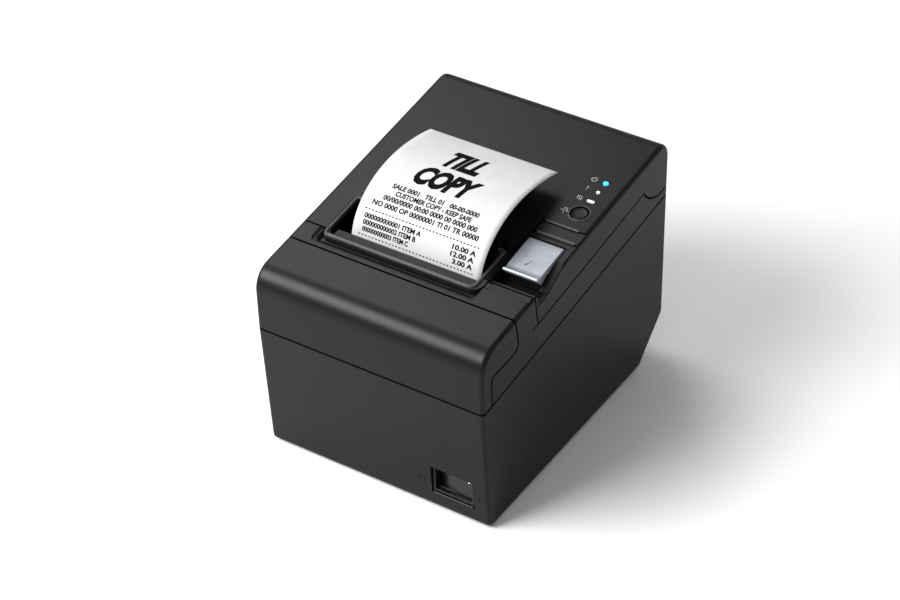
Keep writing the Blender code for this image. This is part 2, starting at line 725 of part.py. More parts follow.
def make_platen():
    """Platen: steel shaft, rubber sleeve, gear at the left end and the two bearings."""
    axis = (PAPER_MIDDLE, PLATEN_Y, PLATEN_Z)
    centre = (PLATEN_Y, PLATEN_Z)
    shaft = disc("x", centre, SHAFT_RADIUS, -58.8, 47.2, 28)
    finish(shaft, "platen_shaft", STEEL, axis)
    sleeve = disc("x", centre, PLATEN_RADIUS, PAPER_LEFT - 0.2, PAPER_RIGHT + 0.2, 36)
    sleeve = cut(sleeve, disc("x", centre, SHAFT_RADIUS + GAP, -60, 60, 28))
    finish(sleeve, "platen_rubber", BLACK_RUBBER, axis)
    finish(gear("x", centre, PLATEN_TEETH, GEAR_X, platen_phase(), SHAFT_RADIUS + GAP), "platen_gear",
           WHITE_GEAR, axis)
    for name, low, high in (("platen_bearing_left", -51.4, -48.0), ("platen_bearing_right", 42.8, 46.2)):
        ring = disc("x", centre, BEARING_RADIUS, low, high)
        finish(cut(ring, disc("x", centre, SHAFT_RADIUS + GAP, low - 1, high + 1)), name, ZINC, HINGE)


# ---------------------------------------------------------------- gears

def gear_radius(teeth):
    """Pitch radius."""
    return MODULE * teeth / 2


def gear_outline(centre, teeth, phase):
    """Outline of a gear with one tooth centred on the phase angle (radians)."""
    pitch = gear_radius(teeth)
    step = 2 * math.pi / teeth
    rings = ((pitch - 1.1 * MODULE, 0.33), (pitch + 0.85 * MODULE, 0.10))
    outline = []
    for k in range(teeth):
        middle = phase + k * step
        for radius, half in rings:
            outline.append((radius, middle - half * step))
        for radius, half in reversed(rings):
            outline.append((radius, middle + half * step))
    return [(centre[0] + r * math.cos(a), centre[1] + r * math.sin(a)) for r, a in outline]


def gear(axis, centre, teeth, span, phase, bore):
    """A spur gear with a bore, along an axis."""
    wheel = prism(axis, gear_outline(centre, teeth, phase), span[0], span[1])
    if bore:
        wheel = cut(wheel, disc(axis, centre, bore, span[0] - 1, span[1] + 1, 24))
    return wheel


def mesh_distance(a, b):
    """Centre distance of two meshing gears."""
    return gear_radius(a) + gear_radius(b) + GEAR_PLAY


def opening_direction():
    """Unit direction in which the platen leaves when the cover starts to open."""
    arm = (PLATEN_Y - HINGE_Y, PLATEN_Z - HINGE_Z)
    length = math.hypot(*arm)
    return (arm[1] / length, -arm[0] / length)


def train():
    """Centres of the idler gears and the feed pinion as (y, z)."""
    away = opening_direction()
    first = mesh_distance(PLATEN_TEETH, IDLER_TEETH)
    idler = (PLATEN_Y - away[0] * first, PLATEN_Z - away[1] * first)
    reach = mesh_distance(IDLER_TEETH, SECOND_IDLER_TEETH)
    second = step_from(idler, reach, 225)
    last = mesh_distance(SECOND_IDLER_TEETH, PINION_TEETH)
    pinion = step_from(second, last, 200)
    return idler, second, pinion


def step_from(place, reach, degrees):
    """A point at a distance and angle from another."""
    a = math.radians(degrees)
    return (place[0] + reach * math.cos(a), place[1] + reach * math.sin(a))


def direction_angle(start, end):
    """Angle from one point towards another."""
    return math.atan2(end[1] - start[1], end[0] - start[0])


def platen_phase():
    """The platen gear has a tooth pointing at the first idler."""
    return direction_angle((PLATEN_Y, PLATEN_Z), train()[0])


def meshed_phase(driver, driver_teeth, driver_phase, centre, teeth):
    """Phase that puts a gap where the driver has a tooth on the line of centres."""
    out = direction_angle(driver, centre)
    pitches = (out - driver_phase) * driver_teeth / (2 * math.pi)
    offset = pitches - round(pitches)
    back = out + math.pi
    return back + (0.5 + offset) * 2 * math.pi / teeth


def make_feed_train():
    """Two idler gears and the feed motor's pinion on its shaft."""
    idler, second, pinion = train()
    platen = (PLATEN_Y, PLATEN_Z)
    middle = sum(GEAR_X) / 2
    phase = meshed_phase(platen, PLATEN_TEETH, platen_phase(), idler, IDLER_TEETH)
    finish(gear("x", idler, IDLER_TEETH, GEAR_X, phase, 2.1), "idler_gear", WHITE_GEAR, (middle, *idler))
    phase_second = meshed_phase(idler, IDLER_TEETH, phase, second, SECOND_IDLER_TEETH)
    finish(gear("x", second, SECOND_IDLER_TEETH, GEAR_X, phase_second, 2.1), "second_idler_gear",
           WHITE_GEAR, (middle, *second))
    phase_pinion = meshed_phase(second, SECOND_IDLER_TEETH, phase_second, pinion, PINION_TEETH)
    wheel = gear("x", pinion, PINION_TEETH, GEAR_X, phase_pinion, 0)
    wheel = joined(wheel, disc("x", pinion, 1.5, -58.6, -47.8, 20))
    finish(wheel, "feed_pinion", STEEL, (middle, *pinion))
    motor = disc("x", pinion, FEED_MOTOR_RADIUS, -47.4, -28.0, 40)
    motor = joined(motor, disc("x", pinion, 6.0, -28.5, -26.5, 24))
    finish(motor, "feed_motor", ZINC, (middle, *pinion))


# ---------------------------------------------------------------- mechanism

def nip_point(out, up):
    """A point out from the platen's middle along the nip, and up along the paper there."""
    n = (math.cos(NIP_ANGLE), math.sin(NIP_ANGLE))
    t = (n[1], -n[0])
    return (PLATEN_Y + n[0] * out + t[0] * up, PLATEN_Z + n[1] * out + t[1] * up)


def nip_bar(out, up, x):
    """A bar across the printer lying square to the nip."""
    corners = [nip_point(out[i], up[j]) for i, j in ((0, 0), (1, 0), (1, 1), (0, 1))]
    return prism("x", corners, x[0], x[1])


def notch_outline():
    """The bearing notch: the path the bearing sweeps while the cover opens."""
    reach = math.hypot(PLATEN_Y - HINGE_Y, PLATEN_Z - HINGE_Z)
    angle = math.degrees(math.atan2(PLATEN_Z - HINGE_Z, PLATEN_Y - HINGE_Y)) % 360
    half = BEARING_RADIUS + GAP
    centre = (HINGE_Y, HINGE_Z)
    outer = arc(centre, reach + half, angle, angle - 12, 8)
    inner = arc(centre, reach - half, angle - 12, angle, 8)
    bottom = arc((PLATEN_Y, PLATEN_Z), half, angle - 180, angle - 360, 12)
    return outer + inner + bottom[1:-1]


def frame_floor():
    """Underside of the mechanism frame, below the feed motor."""
    return train()[2][1] - FEED_MOTOR_RADIUS - UNDER_MOTOR


def make_mechanism_frame():
    """Folded steel frame: side plates with bearing notches, front and floor, spring wall, gear posts."""
    idler, second, pinion = train()
    floor = frame_floor()
    side = [(FRAME_FRONT_Y, floor), (-30.0, floor), (-30.0, 66.0), (-24.5, 78.0),
            (-24.5, FRAME_TOP), (FRAME_FRONT_Y, FRAME_TOP)]
    frame = prism("x", side, *PLATE_LEFT)
    frame = joined(frame, prism("x", side, *PLATE_RIGHT))
    inside = (PLATE_LEFT[0] + 0.6, PLATE_RIGHT[1] - 0.6)
    frame = joined(frame, box(inside, (FRAME_FRONT_Y, FRAME_FRONT_Y + 1.2), (floor, FRAME_TOP)))
    frame = joined(frame, box(inside, (FRAME_FRONT_Y, -30.0), (floor, floor + 1.2)))
    frame = joined(frame, nip_bar((22.0, 23.2), (-9.0, 7.0), inside))
    frame = cut(frame, prism("x", notch_outline(), -60, 60))
    frame = cut(frame, disc("x", pinion, 2.4, -55, -45, 20))
    posts = [disc("x", place, 1.8, -58.6, -49.6, 20) for place in (idler, second)]
    frame = joined(frame, *posts)
    tabs = [box((x, x + 13.0), (-52.0, -42.0), (floor, floor + 1.2)) for x in (-62.0, 44.0)]
    frame = joined(frame, *tabs)
    return finish(frame, "mechanism_frame", ZINC)


def head_pivot():
    """Pivot of the print head, low on its back."""
    return (PAPER_MIDDLE, *nip_point(12.4, -12.0))


def make_print_head():
    """Thermal head plate on its heatsink, and the two springs that press it to the platen."""
    face = PLATEN_RADIUS + 0.8
    x = (PAPER_LEFT - 2.0, PAPER_RIGHT + 2.0)
    plate = nip_bar((face, face + 1.0), (-12.6, 4.6), x)
    finish(plate, "head_plate", ((0.32, 0.30, 0.27), 0.25), head_pivot())
    sink = nip_bar((face + 1.3, face + 6.0), (-14.0, 5.0), x)
    for k in range(4):
        up = -11.5 + 4.0 * k
        sink = cut(sink, nip_bar((face + 4.2, face + 7.0), (up, up + 1.8), (x[0] - 1, x[1] + 1)))
    finish(sink, "head_heatsink", ((0.6, 0.6, 0.62), 0.4, 1.0), head_pivot())
    for name, at in (("head_spring_left", PAPER_MIDDLE - 24.0), ("head_spring_right", PAPER_MIDDLE + 24.0)):
        make_spring(name, at, face + 6.9, 21.4)


def make_spring(name, x, start, end):
    """A coil spring along the nip direction between two distances from the platen's middle."""
    turns, per_turn, wire, radius = 5, 10, 0.35, 2.6
    low, high = start + wire, end - wire
    n = np.array([0.0, math.cos(NIP_ANGLE), math.sin(NIP_ANGLE)])
    t = np.array([0.0, n[2], -n[1]])
    e = np.array([1.0, 0.0, 0.0])
    base = np.array([x, *nip_point(0.0, 0.0)])
    loops = []
    for k in range(turns * per_turn + 1):
        a = 2 * math.pi * k / per_turn
        out = low + (high - low) * k / (turns * per_turn)
        centre = base + n * out + radius * (math.cos(a) * e + math.sin(a) * t)
        away = math.cos(a) * e + math.sin(a) * t
        loops.append([tuple(centre + wire * (math.cos(b) * away + math.sin(b) * n))
                      for b in np.radians(range(0, 360, 72))])
    return finish(loft(loops), name, STEEL, (x, *nip_point((start + end) / 2, 0.0)), 60)


def make_cutter():
    """Cutter: base plate with guides, moving blade, toothed carriage, drive gear, pinion and motor."""
    base = box((-52.0, 47.0), (FRAME_FRONT_Y, -49.5), CUTTER_BASE_Z)
    for x in (PAPER_LEFT - 3.4, PAPER_RIGHT + 1.8):
        base = joined(base, box((x, x + 1.8), (-78.0, -50.5), (CUTTER_BASE_Z[0] + 0.6, 110.0)))
    for x in (-30.0, 28.5):
        base = joined(base, box((x, x + 2.0), (-60.0, -50.5), (CUTTER_BASE_Z[0] + 0.6, BLADE_Z[0] - GAP)))
    wheel, motor = cutter_centres()
    base = joined(base, disc("z", wheel, 1.8, CUTTER_BASE_Z[0] + 0.6, 112.6, 20))
    base = cut(base, disc("z", motor, 4.4, 100, 108, 28))
    finish(base, "cutter_base", ZINC)
    blade = prism("z", [(PAPER_LEFT - 1.2, -76.0), (-28.0, -76.0), (-28.0, -68.0), (-9.0, -68.0), (-9.0, -77.0),
                        (3.4, -77.0), (3.4, -68.0), (6.8, -60.0), (28.0, -56.6), (PAPER_RIGHT + 1.2, -56.6),
                        (PAPER_RIGHT + 1.2, -46.6), (PAPER_MIDDLE, -49.6), (PAPER_LEFT - 1.2, -46.6)], *BLADE_Z)
    finish(blade, "moving_blade", STEEL, (PAPER_MIDDLE, -60.0, BLADE_Z[0]))
    finish(make_rack(), "blade_carriage", WHITE_GEAR, (PAPER_MIDDLE, -60.0, BLADE_Z[0]))
    span = (108.9, 112.2)
    phase = math.pi
    gear_wheel = gear("z", wheel, CUTTER_TEETH, span, phase, 0)
    knob = disc("z", wheel, 4.2, 111.8, 114.4, 12)
    gear_wheel = joined(gear_wheel, knob)
    gear_wheel = cut(gear_wheel, disc("z", wheel, 2.1, 100, 113.0, 20))
    finish(gear_wheel, "cutter_gear", WHITE_GEAR, (*wheel, 110.0))
    pinion_phase = meshed_phase(wheel, CUTTER_TEETH, phase, motor, CUTTER_PINION_TEETH)
    pinion = gear("z", motor, CUTTER_PINION_TEETH, span, pinion_phase, 0)
    pinion = joined(pinion, disc("z", motor, 1.2, 104.9, 112.4, 16))
    finish(pinion, "cutter_pinion", STEEL, (*motor, 110.0))
    can = disc("z", motor, 8.5, 82.0, 104.0, 36)
    can = joined(can, disc("z", motor, 3.0, 103.5, 104.6, 24))
    finish(can, "cutter_motor", ZINC, (*motor, 110.0))


RACK_LINE_X = 7.0            # pitch line of the carriage's teeth
WHEEL_Y = -66.0


def cutter_centres():
    """Centres of the cutter's drive gear and its motor as (x, y)."""
    wheel = (RACK_LINE_X + gear_radius(CUTTER_TEETH) + GEAR_PLAY, WHEEL_Y)
    motor = step_from(wheel, mesh_distance(CUTTER_TEETH, CUTTER_PINION_TEETH), -10)
    return wheel, motor


def make_rack():
    """Carriage of the moving blade: a block whose right side is toothed to meet the drive gear."""
    pitch = math.pi * MODULE
    outline = [(-7.0, -77.0)]
    outline.append((RACK_LINE_X - 1.1 * MODULE, -77.0))
    for k in range(-4, 2):
        middle = WHEEL_Y + (k + 0.5) * pitch
        for across_line, half in ((-1.1, 0.33), (0.85, 0.10)):
            outline.append((RACK_LINE_X + across_line * MODULE, middle - half * pitch))
        for across_line, half in ((0.85, 0.10), (-1.1, 0.33)):
            outline.append((RACK_LINE_X + across_line * MODULE, middle + half * pitch))
    outline.append((RACK_LINE_X - 1.1 * MODULE, -61.0))
    outline.append((-7.0, -61.0))
    return prism("z", outline, BLADE_Z[1] + GAP, 111.8)


# ---------------------------------------------------------------- paper

def strip(path, thickness, x):
    """A thin sheet along a path of (y, z) points, across x."""
    path = np.array(path)
    along = np.gradient(path, axis=0)
    along /= np.linalg.norm(along, axis=1)[:, None]
    side = np.stack([-along[:, 1], along[:, 0]], axis=1) * thickness / 2
    outline = [tuple(p) for p in path + side] + [tuple(p) for p in (path - side)[::-1]]
    return prism("x", outline, x[0], x[1])


def curl(start, heading, lengths):
    """Walk from a start point, heading given in degrees as a function of length."""
    points = [start]
    for a, b in zip(lengths[:-1], lengths[1:]):
        angle = math.radians(heading((a + b) / 2))
        y, z = points[-1]
        points.append((y + (b - a) * math.cos(angle), z + (b - a) * math.sin(angle)))
    return points


RECEIPT_START = (-42.9, 110.2)
RECEIPT_LENGTH = 97.5
HEADING_END = -29.4          # degrees; the receipt would tend to this slope if it went on
HEADING_DROP = 111.9         # degrees the heading falls from HEADING_FROM onwards
HEADING_FROM = 7.8
HEADING_FADE = 42.9          # length over which the drop fades to 1/e


def receipt_heading(length):
    """Direction of the receipt at a length from its root: it rises and then curls back."""
    return HEADING_END + HEADING_DROP * math.exp(-(length - HEADING_FROM) / HEADING_FADE)


def make_paper():
    """Paper roll on its core, the web up to the cutter, and the printed receipt above it."""
    centre = (ROLL_Y, ROLL_Z)
    x = (PAPER_LEFT, PAPER_RIGHT)
    axis = (PAPER_MIDDLE, ROLL_Y, ROLL_Z)
    roll = disc("x", centre, ROLL_RADIUS, x[0], x[1], 60)
    roll = cut(roll, disc("x", centre, CORE_RADIUS + 0.1, -60, 60, 28))
    finish(roll, "paper_roll", PAPER_WHITE, axis)
    core = disc("x", centre, CORE_RADIUS - 0.2, x[0] - 0.3, x[1] + 0.3, 28)
    core = cut(core, disc("x", centre, CORE_RADIUS - 2.0, -60, 60, 28))
    finish(core, "roll_core", ((0.35, 0.25, 0.16), 0.8), axis)
    finish(strip(web_path(), PAPER_THICKNESS, x), "paper_web", PAPER_WHITE)
    path = curl(RECEIPT_START, receipt_heading, np.linspace(0.0, RECEIPT_LENGTH, 41))
    finish(strip(path, PAPER_THICKNESS, x), "receipt", PAPER_WHITE, HINGE)


def web_path():
    """Web from the roll's front, straight to the platen, round the nip and up to the cutter."""
    at_platen = PLATEN_RADIUS + 0.4
    at_roll = ROLL_RADIUS + 0.4
    away = (PLATEN_Y - ROLL_Y, PLATEN_Z - ROLL_Z)
    distance = math.hypot(*away)
    angle = math.atan2(away[1], away[0]) + math.acos((at_roll - at_platen) / distance)
    start = (ROLL_Y + at_roll * math.cos(angle), ROLL_Z + at_roll * math.sin(angle))
    wrap = arc((PLATEN_Y, PLATEN_Z), at_platen, math.degrees(angle), math.degrees(NIP_ANGLE), 3)
    up = curl(wrap[-1], lambda s: 110.0 - 1.4 * s, np.linspace(0.0, 10.4, 7))
    return [start] + wrap + up[1:]


# ---------------------------------------------------------------- chassis and lower parts

def make_roll_holder():
    """Chassis: paper trough between two end walls, a flange round it and four legs."""
    centre = (ROLL_Y, ROLL_Z)
    outer = TROUGH_RADIUS + TROUGH_WALL
    left, right = PAPER_LEFT - 3.2, PAPER_RIGHT + 3.2
    flange_top = frame_floor() - UNDER_FRAME
    flange = (flange_top - FLANGE_THICK, flange_top)
    trough = arc(centre, outer, 222, 366, 36) + arc(centre, TROUGH_RADIUS, 366, 222, 36)
    holder = prism("x", trough, left, right)
    wall = arc(centre, outer, 222, 366, 36) + [(60.0, 74.0), (-8.0, 50.0)]
    for x in (left, right - 2.0):
        holder = joined(holder, prism("x", wall, x, x + 2.0))
    front_y, rear_y = -30.0, 66.0
    edge = HALF_WIDTH - WALL - 3.5
    for low, high in ((-edge, left + 1.0), (right - 1.0, edge)):
        holder = joined(holder, box((low, high), (front_y, rear_y), flange))
    holder = joined(holder, box((-edge, edge), (-34.0, -10.5), flange))
    sill = [(-12.0, flange[0]), (-6.2, 31.4), (-4.8, 32.6), (-10.6, flange_top), (-12.0, flange_top)]
    holder = joined(holder, prism("x", sill, left, right))
    legs = [disc("z", place, 4.0, 9.0, flange[0] + 1.0, 24) for place in leg_places()]
    holder = joined(holder, *legs)
    holder = cut(holder, *[disc("z", place, 1.8, 5, 19, 20) for place in leg_places()])
    posts = [box((x, x + 6.0), (-51.0, -43.0), (12.0, frame_floor() - 0.4)) for x in (-61.0, 50.0)]
    rails = [box((x, x + 6.0), (-48.0, -30.0), (flange[0] - 4.0, flange_top)) for x in (-61.0, 50.0)]
    holder = joined(holder, *posts, *rails)
    return finish(holder, "roll_holder", BLACK_PLASTIC)


def make_screws():
    """Four casing screws up through the pillars into the legs."""
    for k, (x, y) in enumerate(leg_places()):
        screw = turned([(1.6, 2.2), (2.7, 2.6), (2.9, 3.6), (2.9, 4.6), (1.5, 4.7), (1.5, 17.0),
                        (0.6, 18.0)], 20)
        slot = [box((-1.7, 1.7), (-0.35, 0.35), (1.0, 3.4)), box((-0.35, 0.35), (-1.7, 1.7), (1.0, 3.4))]
        finish(moved(cut(screw, *slot), (x, y, 0.0)), f"case_screw_{k + 1}", ZINC, (x, y, 0.0))


def make_feet():
    """Four rubber feet in shallow pockets."""
    for k, (x, y) in enumerate(foot_places()):
        foot = turned([(FOOT_RADIUS - 0.7, 0.0), (FOOT_RADIUS, 0.5), (FOOT_RADIUS, 2.1)], 32)
        finish(moved(foot, (x, y, 0.0)), f"foot_{k + 1}", BLACK_RUBBER, (x, y, 0.0))


def make_main_board():
    """Main circuit board with a few tall components, under the roll holder."""
    board = box((-50.0, 50.0), (-40.0, BOARD_REAR_Y), BOARD_Z)
    top = BOARD_Z[1] - 0.4
    parts = [box((-12, 8), (-20, 0), (top, 9.2)), box((20, 34), (-30, -16), (top, 11.0)),
             disc("z", (-36, -24), 5.0, top, 14.4, 24), disc("z", (-24, -28), 4.0, top, 13.0, 24),
             box((-40, -30), (-6, 8), (top, 9.0)), box((24, 32), (2, 14), (top, 9.6))]
    return finish(joined(board, *parts), "main_board", BOARD_GREEN)


def make_sockets():
    """The four sockets in the recess wall, each hollow towards the rear."""
    front, rear = 54.0, RECESS_Y + 0.6
    look = {"round": BLACK_PLASTIC, "square": STEEL, "clip": BLACK_PLASTIC, "d_shape": STEEL}
    for name, x, z, kind in SOCKETS:
        half, height = SOCKET_SIZES[kind]
        middle = z + height / 2
        if kind == "d_shape":
            finish(d_port(x, middle, half, height, front, rear), name, look[kind])
            continue
        body = box((x - half, x + half), (front, rear), (z, z + height))
        if kind == "round":
            body = cut(body, disc("y", (x, middle), 4.6, rear - 8, rear + 1, 28))
            body = joined(body, *[disc("y", (x + dx, middle + dz), 0.55, rear - 9, rear - 5.2, 8)
                                  for dx, dz in ((-1.8, -1.2), (1.8, -1.2), (0.0, 2.0))])
        if kind == "square":
            mouth = (middle - 4.1, middle + 4.1)
            tongue = (middle - 1.5, middle + 1.5)
            body = cut(body, soft_box((x - 4.4, x + 4.4), (rear - 10, rear + 1), mouth, 1.6, "y"))
            body = joined(body, box((x - 2.8, x + 2.8), (rear - 11, rear - 4.8), tongue))
        if kind == "clip":
            body = cut(body, box((x - 4.9, x + 4.9), (rear - 11, rear + 1), (middle - 3.6, middle + 2.6)))
            body = cut(body, box((x - 3.0, x + 3.0), (rear - 11, rear + 1), (middle + 2.0, middle + 4.6)))
        finish(body, name, look[kind])


def d_port(x, middle, half, height, front, rear):
    """Nine-way serial port: flange, a D-shaped shell and two hexagonal jack posts."""
    body = box((x - half, x + half), (front, rear - 0.6), (middle - height / 2, middle + height / 2))
    shell = [(x - 8.4, middle - 3.9), (x + 8.4, middle - 3.9),
             (x + 9.4, middle + 3.9), (x - 9.4, middle + 3.9)]
    hole = [(x - 7.6, middle - 3.2), (x + 7.6, middle - 3.2),
            (x + 8.5, middle + 3.2), (x - 8.5, middle + 3.2)]
    body = joined(body, prism("y", shell, rear - 1, rear + 5))
    body = cut(body, prism("y", hole, rear - 1.5, rear + 6))
    pins = [(x + 2.7 * (k - 2), middle + 1.4) for k in range(5)]
    pins += [(x + 2.7 * (k - 1.5), middle - 1.4) for k in range(4)]
    body = joined(body, *[disc("y", pin, 0.5, rear - 2.5, rear + 0.5, 6) for pin in pins])
    body = joined(body, *[disc("y", (x + side * 12.5, middle), 2.4, rear - 1, rear + 4.0, 6) for side in (-1, 1)])
    return body


def make_switch():
    """Power switch: housing with a raised surround, and the rocker on an upright axis."""
    x0, x1 = SWITCH_X
    z0, z1 = SWITCH_Z
    face = -89.2
    housing = box((x0, x1), (face, -86.2), (z0, z1))
    housing = joined(housing, box((x0 + 0.6, x1 - 0.6), (-87.0, -73.0), (z0 + 1.4, z1 - 0.2)))
    opening = (z0 + 2.4, z1 - 0.6)
    housing = cut(housing, box((x0 + 1.1, x1 - 1.1), (-95.0, -76.0), opening))
    ledge = prism("x", [(-95.0, z0 + 0.2), (-95.0, z0 + 3.0), (-86.6, z0 + 3.0), (-86.6, z0 + 2.2)],
                  x0 + 1.1, x1 - 1.1)
    housing = cut(housing, ledge)
    finish(housing, "switch_housing", BLACK_PLASTIC)
    px, py = ROCKER_PIVOT
    outline = [(px - ROCKER_HALF, py + 0.4), (px + ROCKER_HALF, py + 0.4), (px + ROCKER_HALF, py - 5.0),
               (px + 1.0, py - 4.6), (px - 3.4, py - 4.2), (px - ROCKER_HALF, py - 2.0)]
    outline = outline[::-1]
    rocker = prism("z", outline, opening[0] + GAP, opening[1] - GAP)
    rocker = joined(rocker, disc("z", (px, py + 1.0), 2.2, opening[0] + GAP, opening[1] - GAP, 20))
    finish(rocker, "power_rocker", BLACK_PLASTIC, (px, py, sum(SWITCH_Z) / 2))


def make_small_parts():
    """Paper sensor outside the trough's end wall, and the two hinge pins."""
    x = PAPER_RIGHT + 3.2 + GAP
    sensor = box((x, x + 5.0), (6.0, 18.0), (40.0, 48.0))
    sensor = joined(sensor, box((x + 0.5, x + 3.5), (9.0, 15.0), (47.0, 51.0)))
    finish(sensor, "paper_sensor", BLACK_PLASTIC)
    for name, side in (("hinge_pin_left", -1), ("hinge_pin_right", 1)):
        low, high = sorted((side * (EAR_X[0] - 0.8), side * (ARM_X[1] - 0.2)))
        finish(disc("x", (HINGE_Y, HINGE_Z), 2.5, low, high, 24), name, STEEL, HINGE)


def main():
    """Clear the scene and build every piece."""
    for old in list(bpy.data.objects):
        bpy.data.objects.remove(old)
    make_lower_case()
    make_upper_case()
    make_cutter_cover()
    make_exit_rim()
    make_roll_cover()
    make_lights()
    make_panel_board()
    make_feed_button()
    make_open_lever()
    make_platen_holder()
    make_fixed_blade()
    make_platen()
    make_feed_train()
    make_mechanism_frame()
    make_print_head()
    make_cutter()
    make_paper()
    make_roll_holder()
    make_screws()
    make_feet()
    make_main_board()
    make_sockets()
    make_switch()
    make_small_parts()


main()
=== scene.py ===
"""Looks of a desktop receipt printer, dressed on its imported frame.

Distances in the tables below are millimetres; meshes are made in metres.
+X is the printer's right, the front faces -Y and Z is up.
"""
import json
import math

import bmesh
import bpy
import numpy as np
from mathutils import Matrix, Vector
from mathutils.bvhtree import BVHTree


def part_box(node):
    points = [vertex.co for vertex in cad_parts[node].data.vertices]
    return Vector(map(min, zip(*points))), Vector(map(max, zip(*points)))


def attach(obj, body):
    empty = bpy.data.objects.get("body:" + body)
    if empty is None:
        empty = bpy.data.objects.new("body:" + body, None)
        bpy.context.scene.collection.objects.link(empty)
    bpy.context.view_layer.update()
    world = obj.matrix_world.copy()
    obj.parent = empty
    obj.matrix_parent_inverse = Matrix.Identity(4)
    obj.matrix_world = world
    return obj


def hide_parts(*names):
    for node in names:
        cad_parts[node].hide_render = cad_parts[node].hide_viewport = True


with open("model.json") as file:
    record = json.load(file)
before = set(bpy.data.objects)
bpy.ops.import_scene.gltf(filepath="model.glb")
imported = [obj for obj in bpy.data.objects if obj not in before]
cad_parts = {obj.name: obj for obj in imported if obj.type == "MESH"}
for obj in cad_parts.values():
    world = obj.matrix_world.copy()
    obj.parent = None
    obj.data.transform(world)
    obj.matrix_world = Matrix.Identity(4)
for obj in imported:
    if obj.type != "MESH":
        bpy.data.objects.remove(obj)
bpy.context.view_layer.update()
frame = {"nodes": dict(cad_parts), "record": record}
NODE_BODY = {node: body for body, nodes in frame["record"]["behaviour"]["bodies"].items() for node in nodes}

MM = 0.001
TOP_AT_MIDDLE = 127.5
TOP_SLOPE = 0.125
FRONT_FOOT = (-89.5, 1.2)    # y and z of the foot of the front face
FRONT_LEAN = 4.0 / 78.8      # the front face's way forward for each step up
PAPER_LEFT, PAPER_RIGHT = -42.4, 37.2
RECEIPT_START = (-42.9, 110.2)
RECEIPT_LENGTH = 97.5
RECEIPT_WALL = 0.16
HEADING_END = -29.4          # the receipt's slope, in degrees, far along its length
HEADING_DROP = 111.9         # how much steeper it is at HEADING_FROM
HEADING_FROM = 7.8
HEADING_FADE = 42.9
ROLL_OUTER, ROLL_INNER = 40.0, 8.7
BUTTON = (57.8, 20.3)        # x and y of the feed button's middle
LEVER_LEFT, LEVER_RIGHT = 43.8, 64.5
INK_LIFT = 0.14              # print stands this far off the middle of the paper
PRINT_LIFT = 0.05            # painted marks stand this far off the plastic
TYPE_STEP = 1.6              # letters are cut up until no edge is longer, so they bend with the paper
MAX_CUTS = 6
CAPITAL_HEIGHT = 0.69        # of a letter's size
MERGE_DISTANCE = 2e-6


# ---------------------------------------------------------------- material helpers

class Look:
    """One Principled material and short ways of adding nodes to it."""

    def __init__(self, name, colour, roughness, metallic=0.0, **sockets):
        self.material = bpy.data.materials.new(name)
        self.material.use_nodes = True
        self.tree = self.material.node_tree
        self.shader = self.tree.nodes["Principled BSDF"]
        self.shader.inputs["Base Color"].default_value = (*colour, 1.0)
        self.shader.inputs["Roughness"].default_value = roughness
        self.shader.inputs["Metallic"].default_value = metallic
        for socket, value in sockets.items():
            self.shader.inputs[socket.replace("_", " ")].default_value = value
        self.colour = colour
        self.coords = None
        self.bump = None

    def node(self, kind, **settings):
        """A new node with its settings."""
        made = self.tree.nodes.new(kind)
        for key, value in settings.items():
            setattr(made, key, value)
        return made

    def link(self, out, into):
        """Join two sockets."""
        self.tree.links.new(out, into)

    def place(self, scale=(1.0, 1.0, 1.0)):
        """Object coordinates, stretched."""
        if self.coords is None:
            self.coords = self.node("ShaderNodeTexCoord")
        mapping = self.node("ShaderNodeMapping")
        mapping.inputs["Scale"].default_value = scale
        self.link(self.coords.outputs["Object"], mapping.inputs["Vector"])
        return mapping.outputs["Vector"]

    def noise(self, size_mm, detail=2.0, rough=0.5, scale=(1.0, 1.0, 1.0)):
        """Noise whose features are about size_mm across."""
        made = self.node("ShaderNodeTexNoise")
        made.inputs["Scale"].default_value = 1.0 / (size_mm * MM)
        made.inputs["Detail"].default_value = detail
        made.inputs["Roughness"].default_value = rough
        self.link(self.place(scale), made.inputs["Vector"])
        return made.outputs["Fac"]

    def ramp(self, value, stops):
        """A colour ramp through (position, grey or colour) stops."""
        made = self.node("ShaderNodeValToRGB")
        ramp = made.color_ramp
        while len(ramp.elements) < len(stops):
            ramp.elements.new(0.5)
        for element, (at, shade) in zip(ramp.elements, stops):
            element.position = at
            grey = shade if isinstance(shade, tuple) else (shade, shade, shade)
            element.color = (*grey, 1.0)
        self.link(value, made.inputs["Fac"])
        return made.outputs["Color"]

    def vary_colour(self, value, dark, light, low=0.35, high=0.65):
        """Colour from dark to light times the base colour, by a value."""
        shades = [tuple(min(1.0, c * k) for c in self.colour) for k in (dark, light)]
        self.link(self.ramp(value, [(low, shades[0]), (high, shades[1])]), self.shader.inputs["Base Color"])

    def vary_roughness(self, value, rough_low, rough_high, low=0.3, high=0.7):
        """Roughness between two values, by a value."""
        made = self.node("ShaderNodeMapRange")
        made.inputs["From Min"].default_value = low
        made.inputs["From Max"].default_value = high
        made.inputs["To Min"].default_value = rough_low
        made.inputs["To Max"].default_value = rough_high
        self.link(value, made.inputs["Value"])
        self.link(made.outputs["Result"], self.shader.inputs["Roughness"])

    def relief(self, value, strength, depth_mm):
        """Bump from a value, stacked on any earlier bump."""
        made = self.node("ShaderNodeBump")
        made.inputs["Strength"].default_value = strength
        made.inputs["Distance"].default_value = depth_mm * MM
        self.link(value, made.inputs["Height"])
        if self.bump is not None:
            self.link(self.bump, made.inputs["Normal"])
        self.bump = made.outputs["Normal"]
        self.link(self.bump, self.shader.inputs["Normal"])


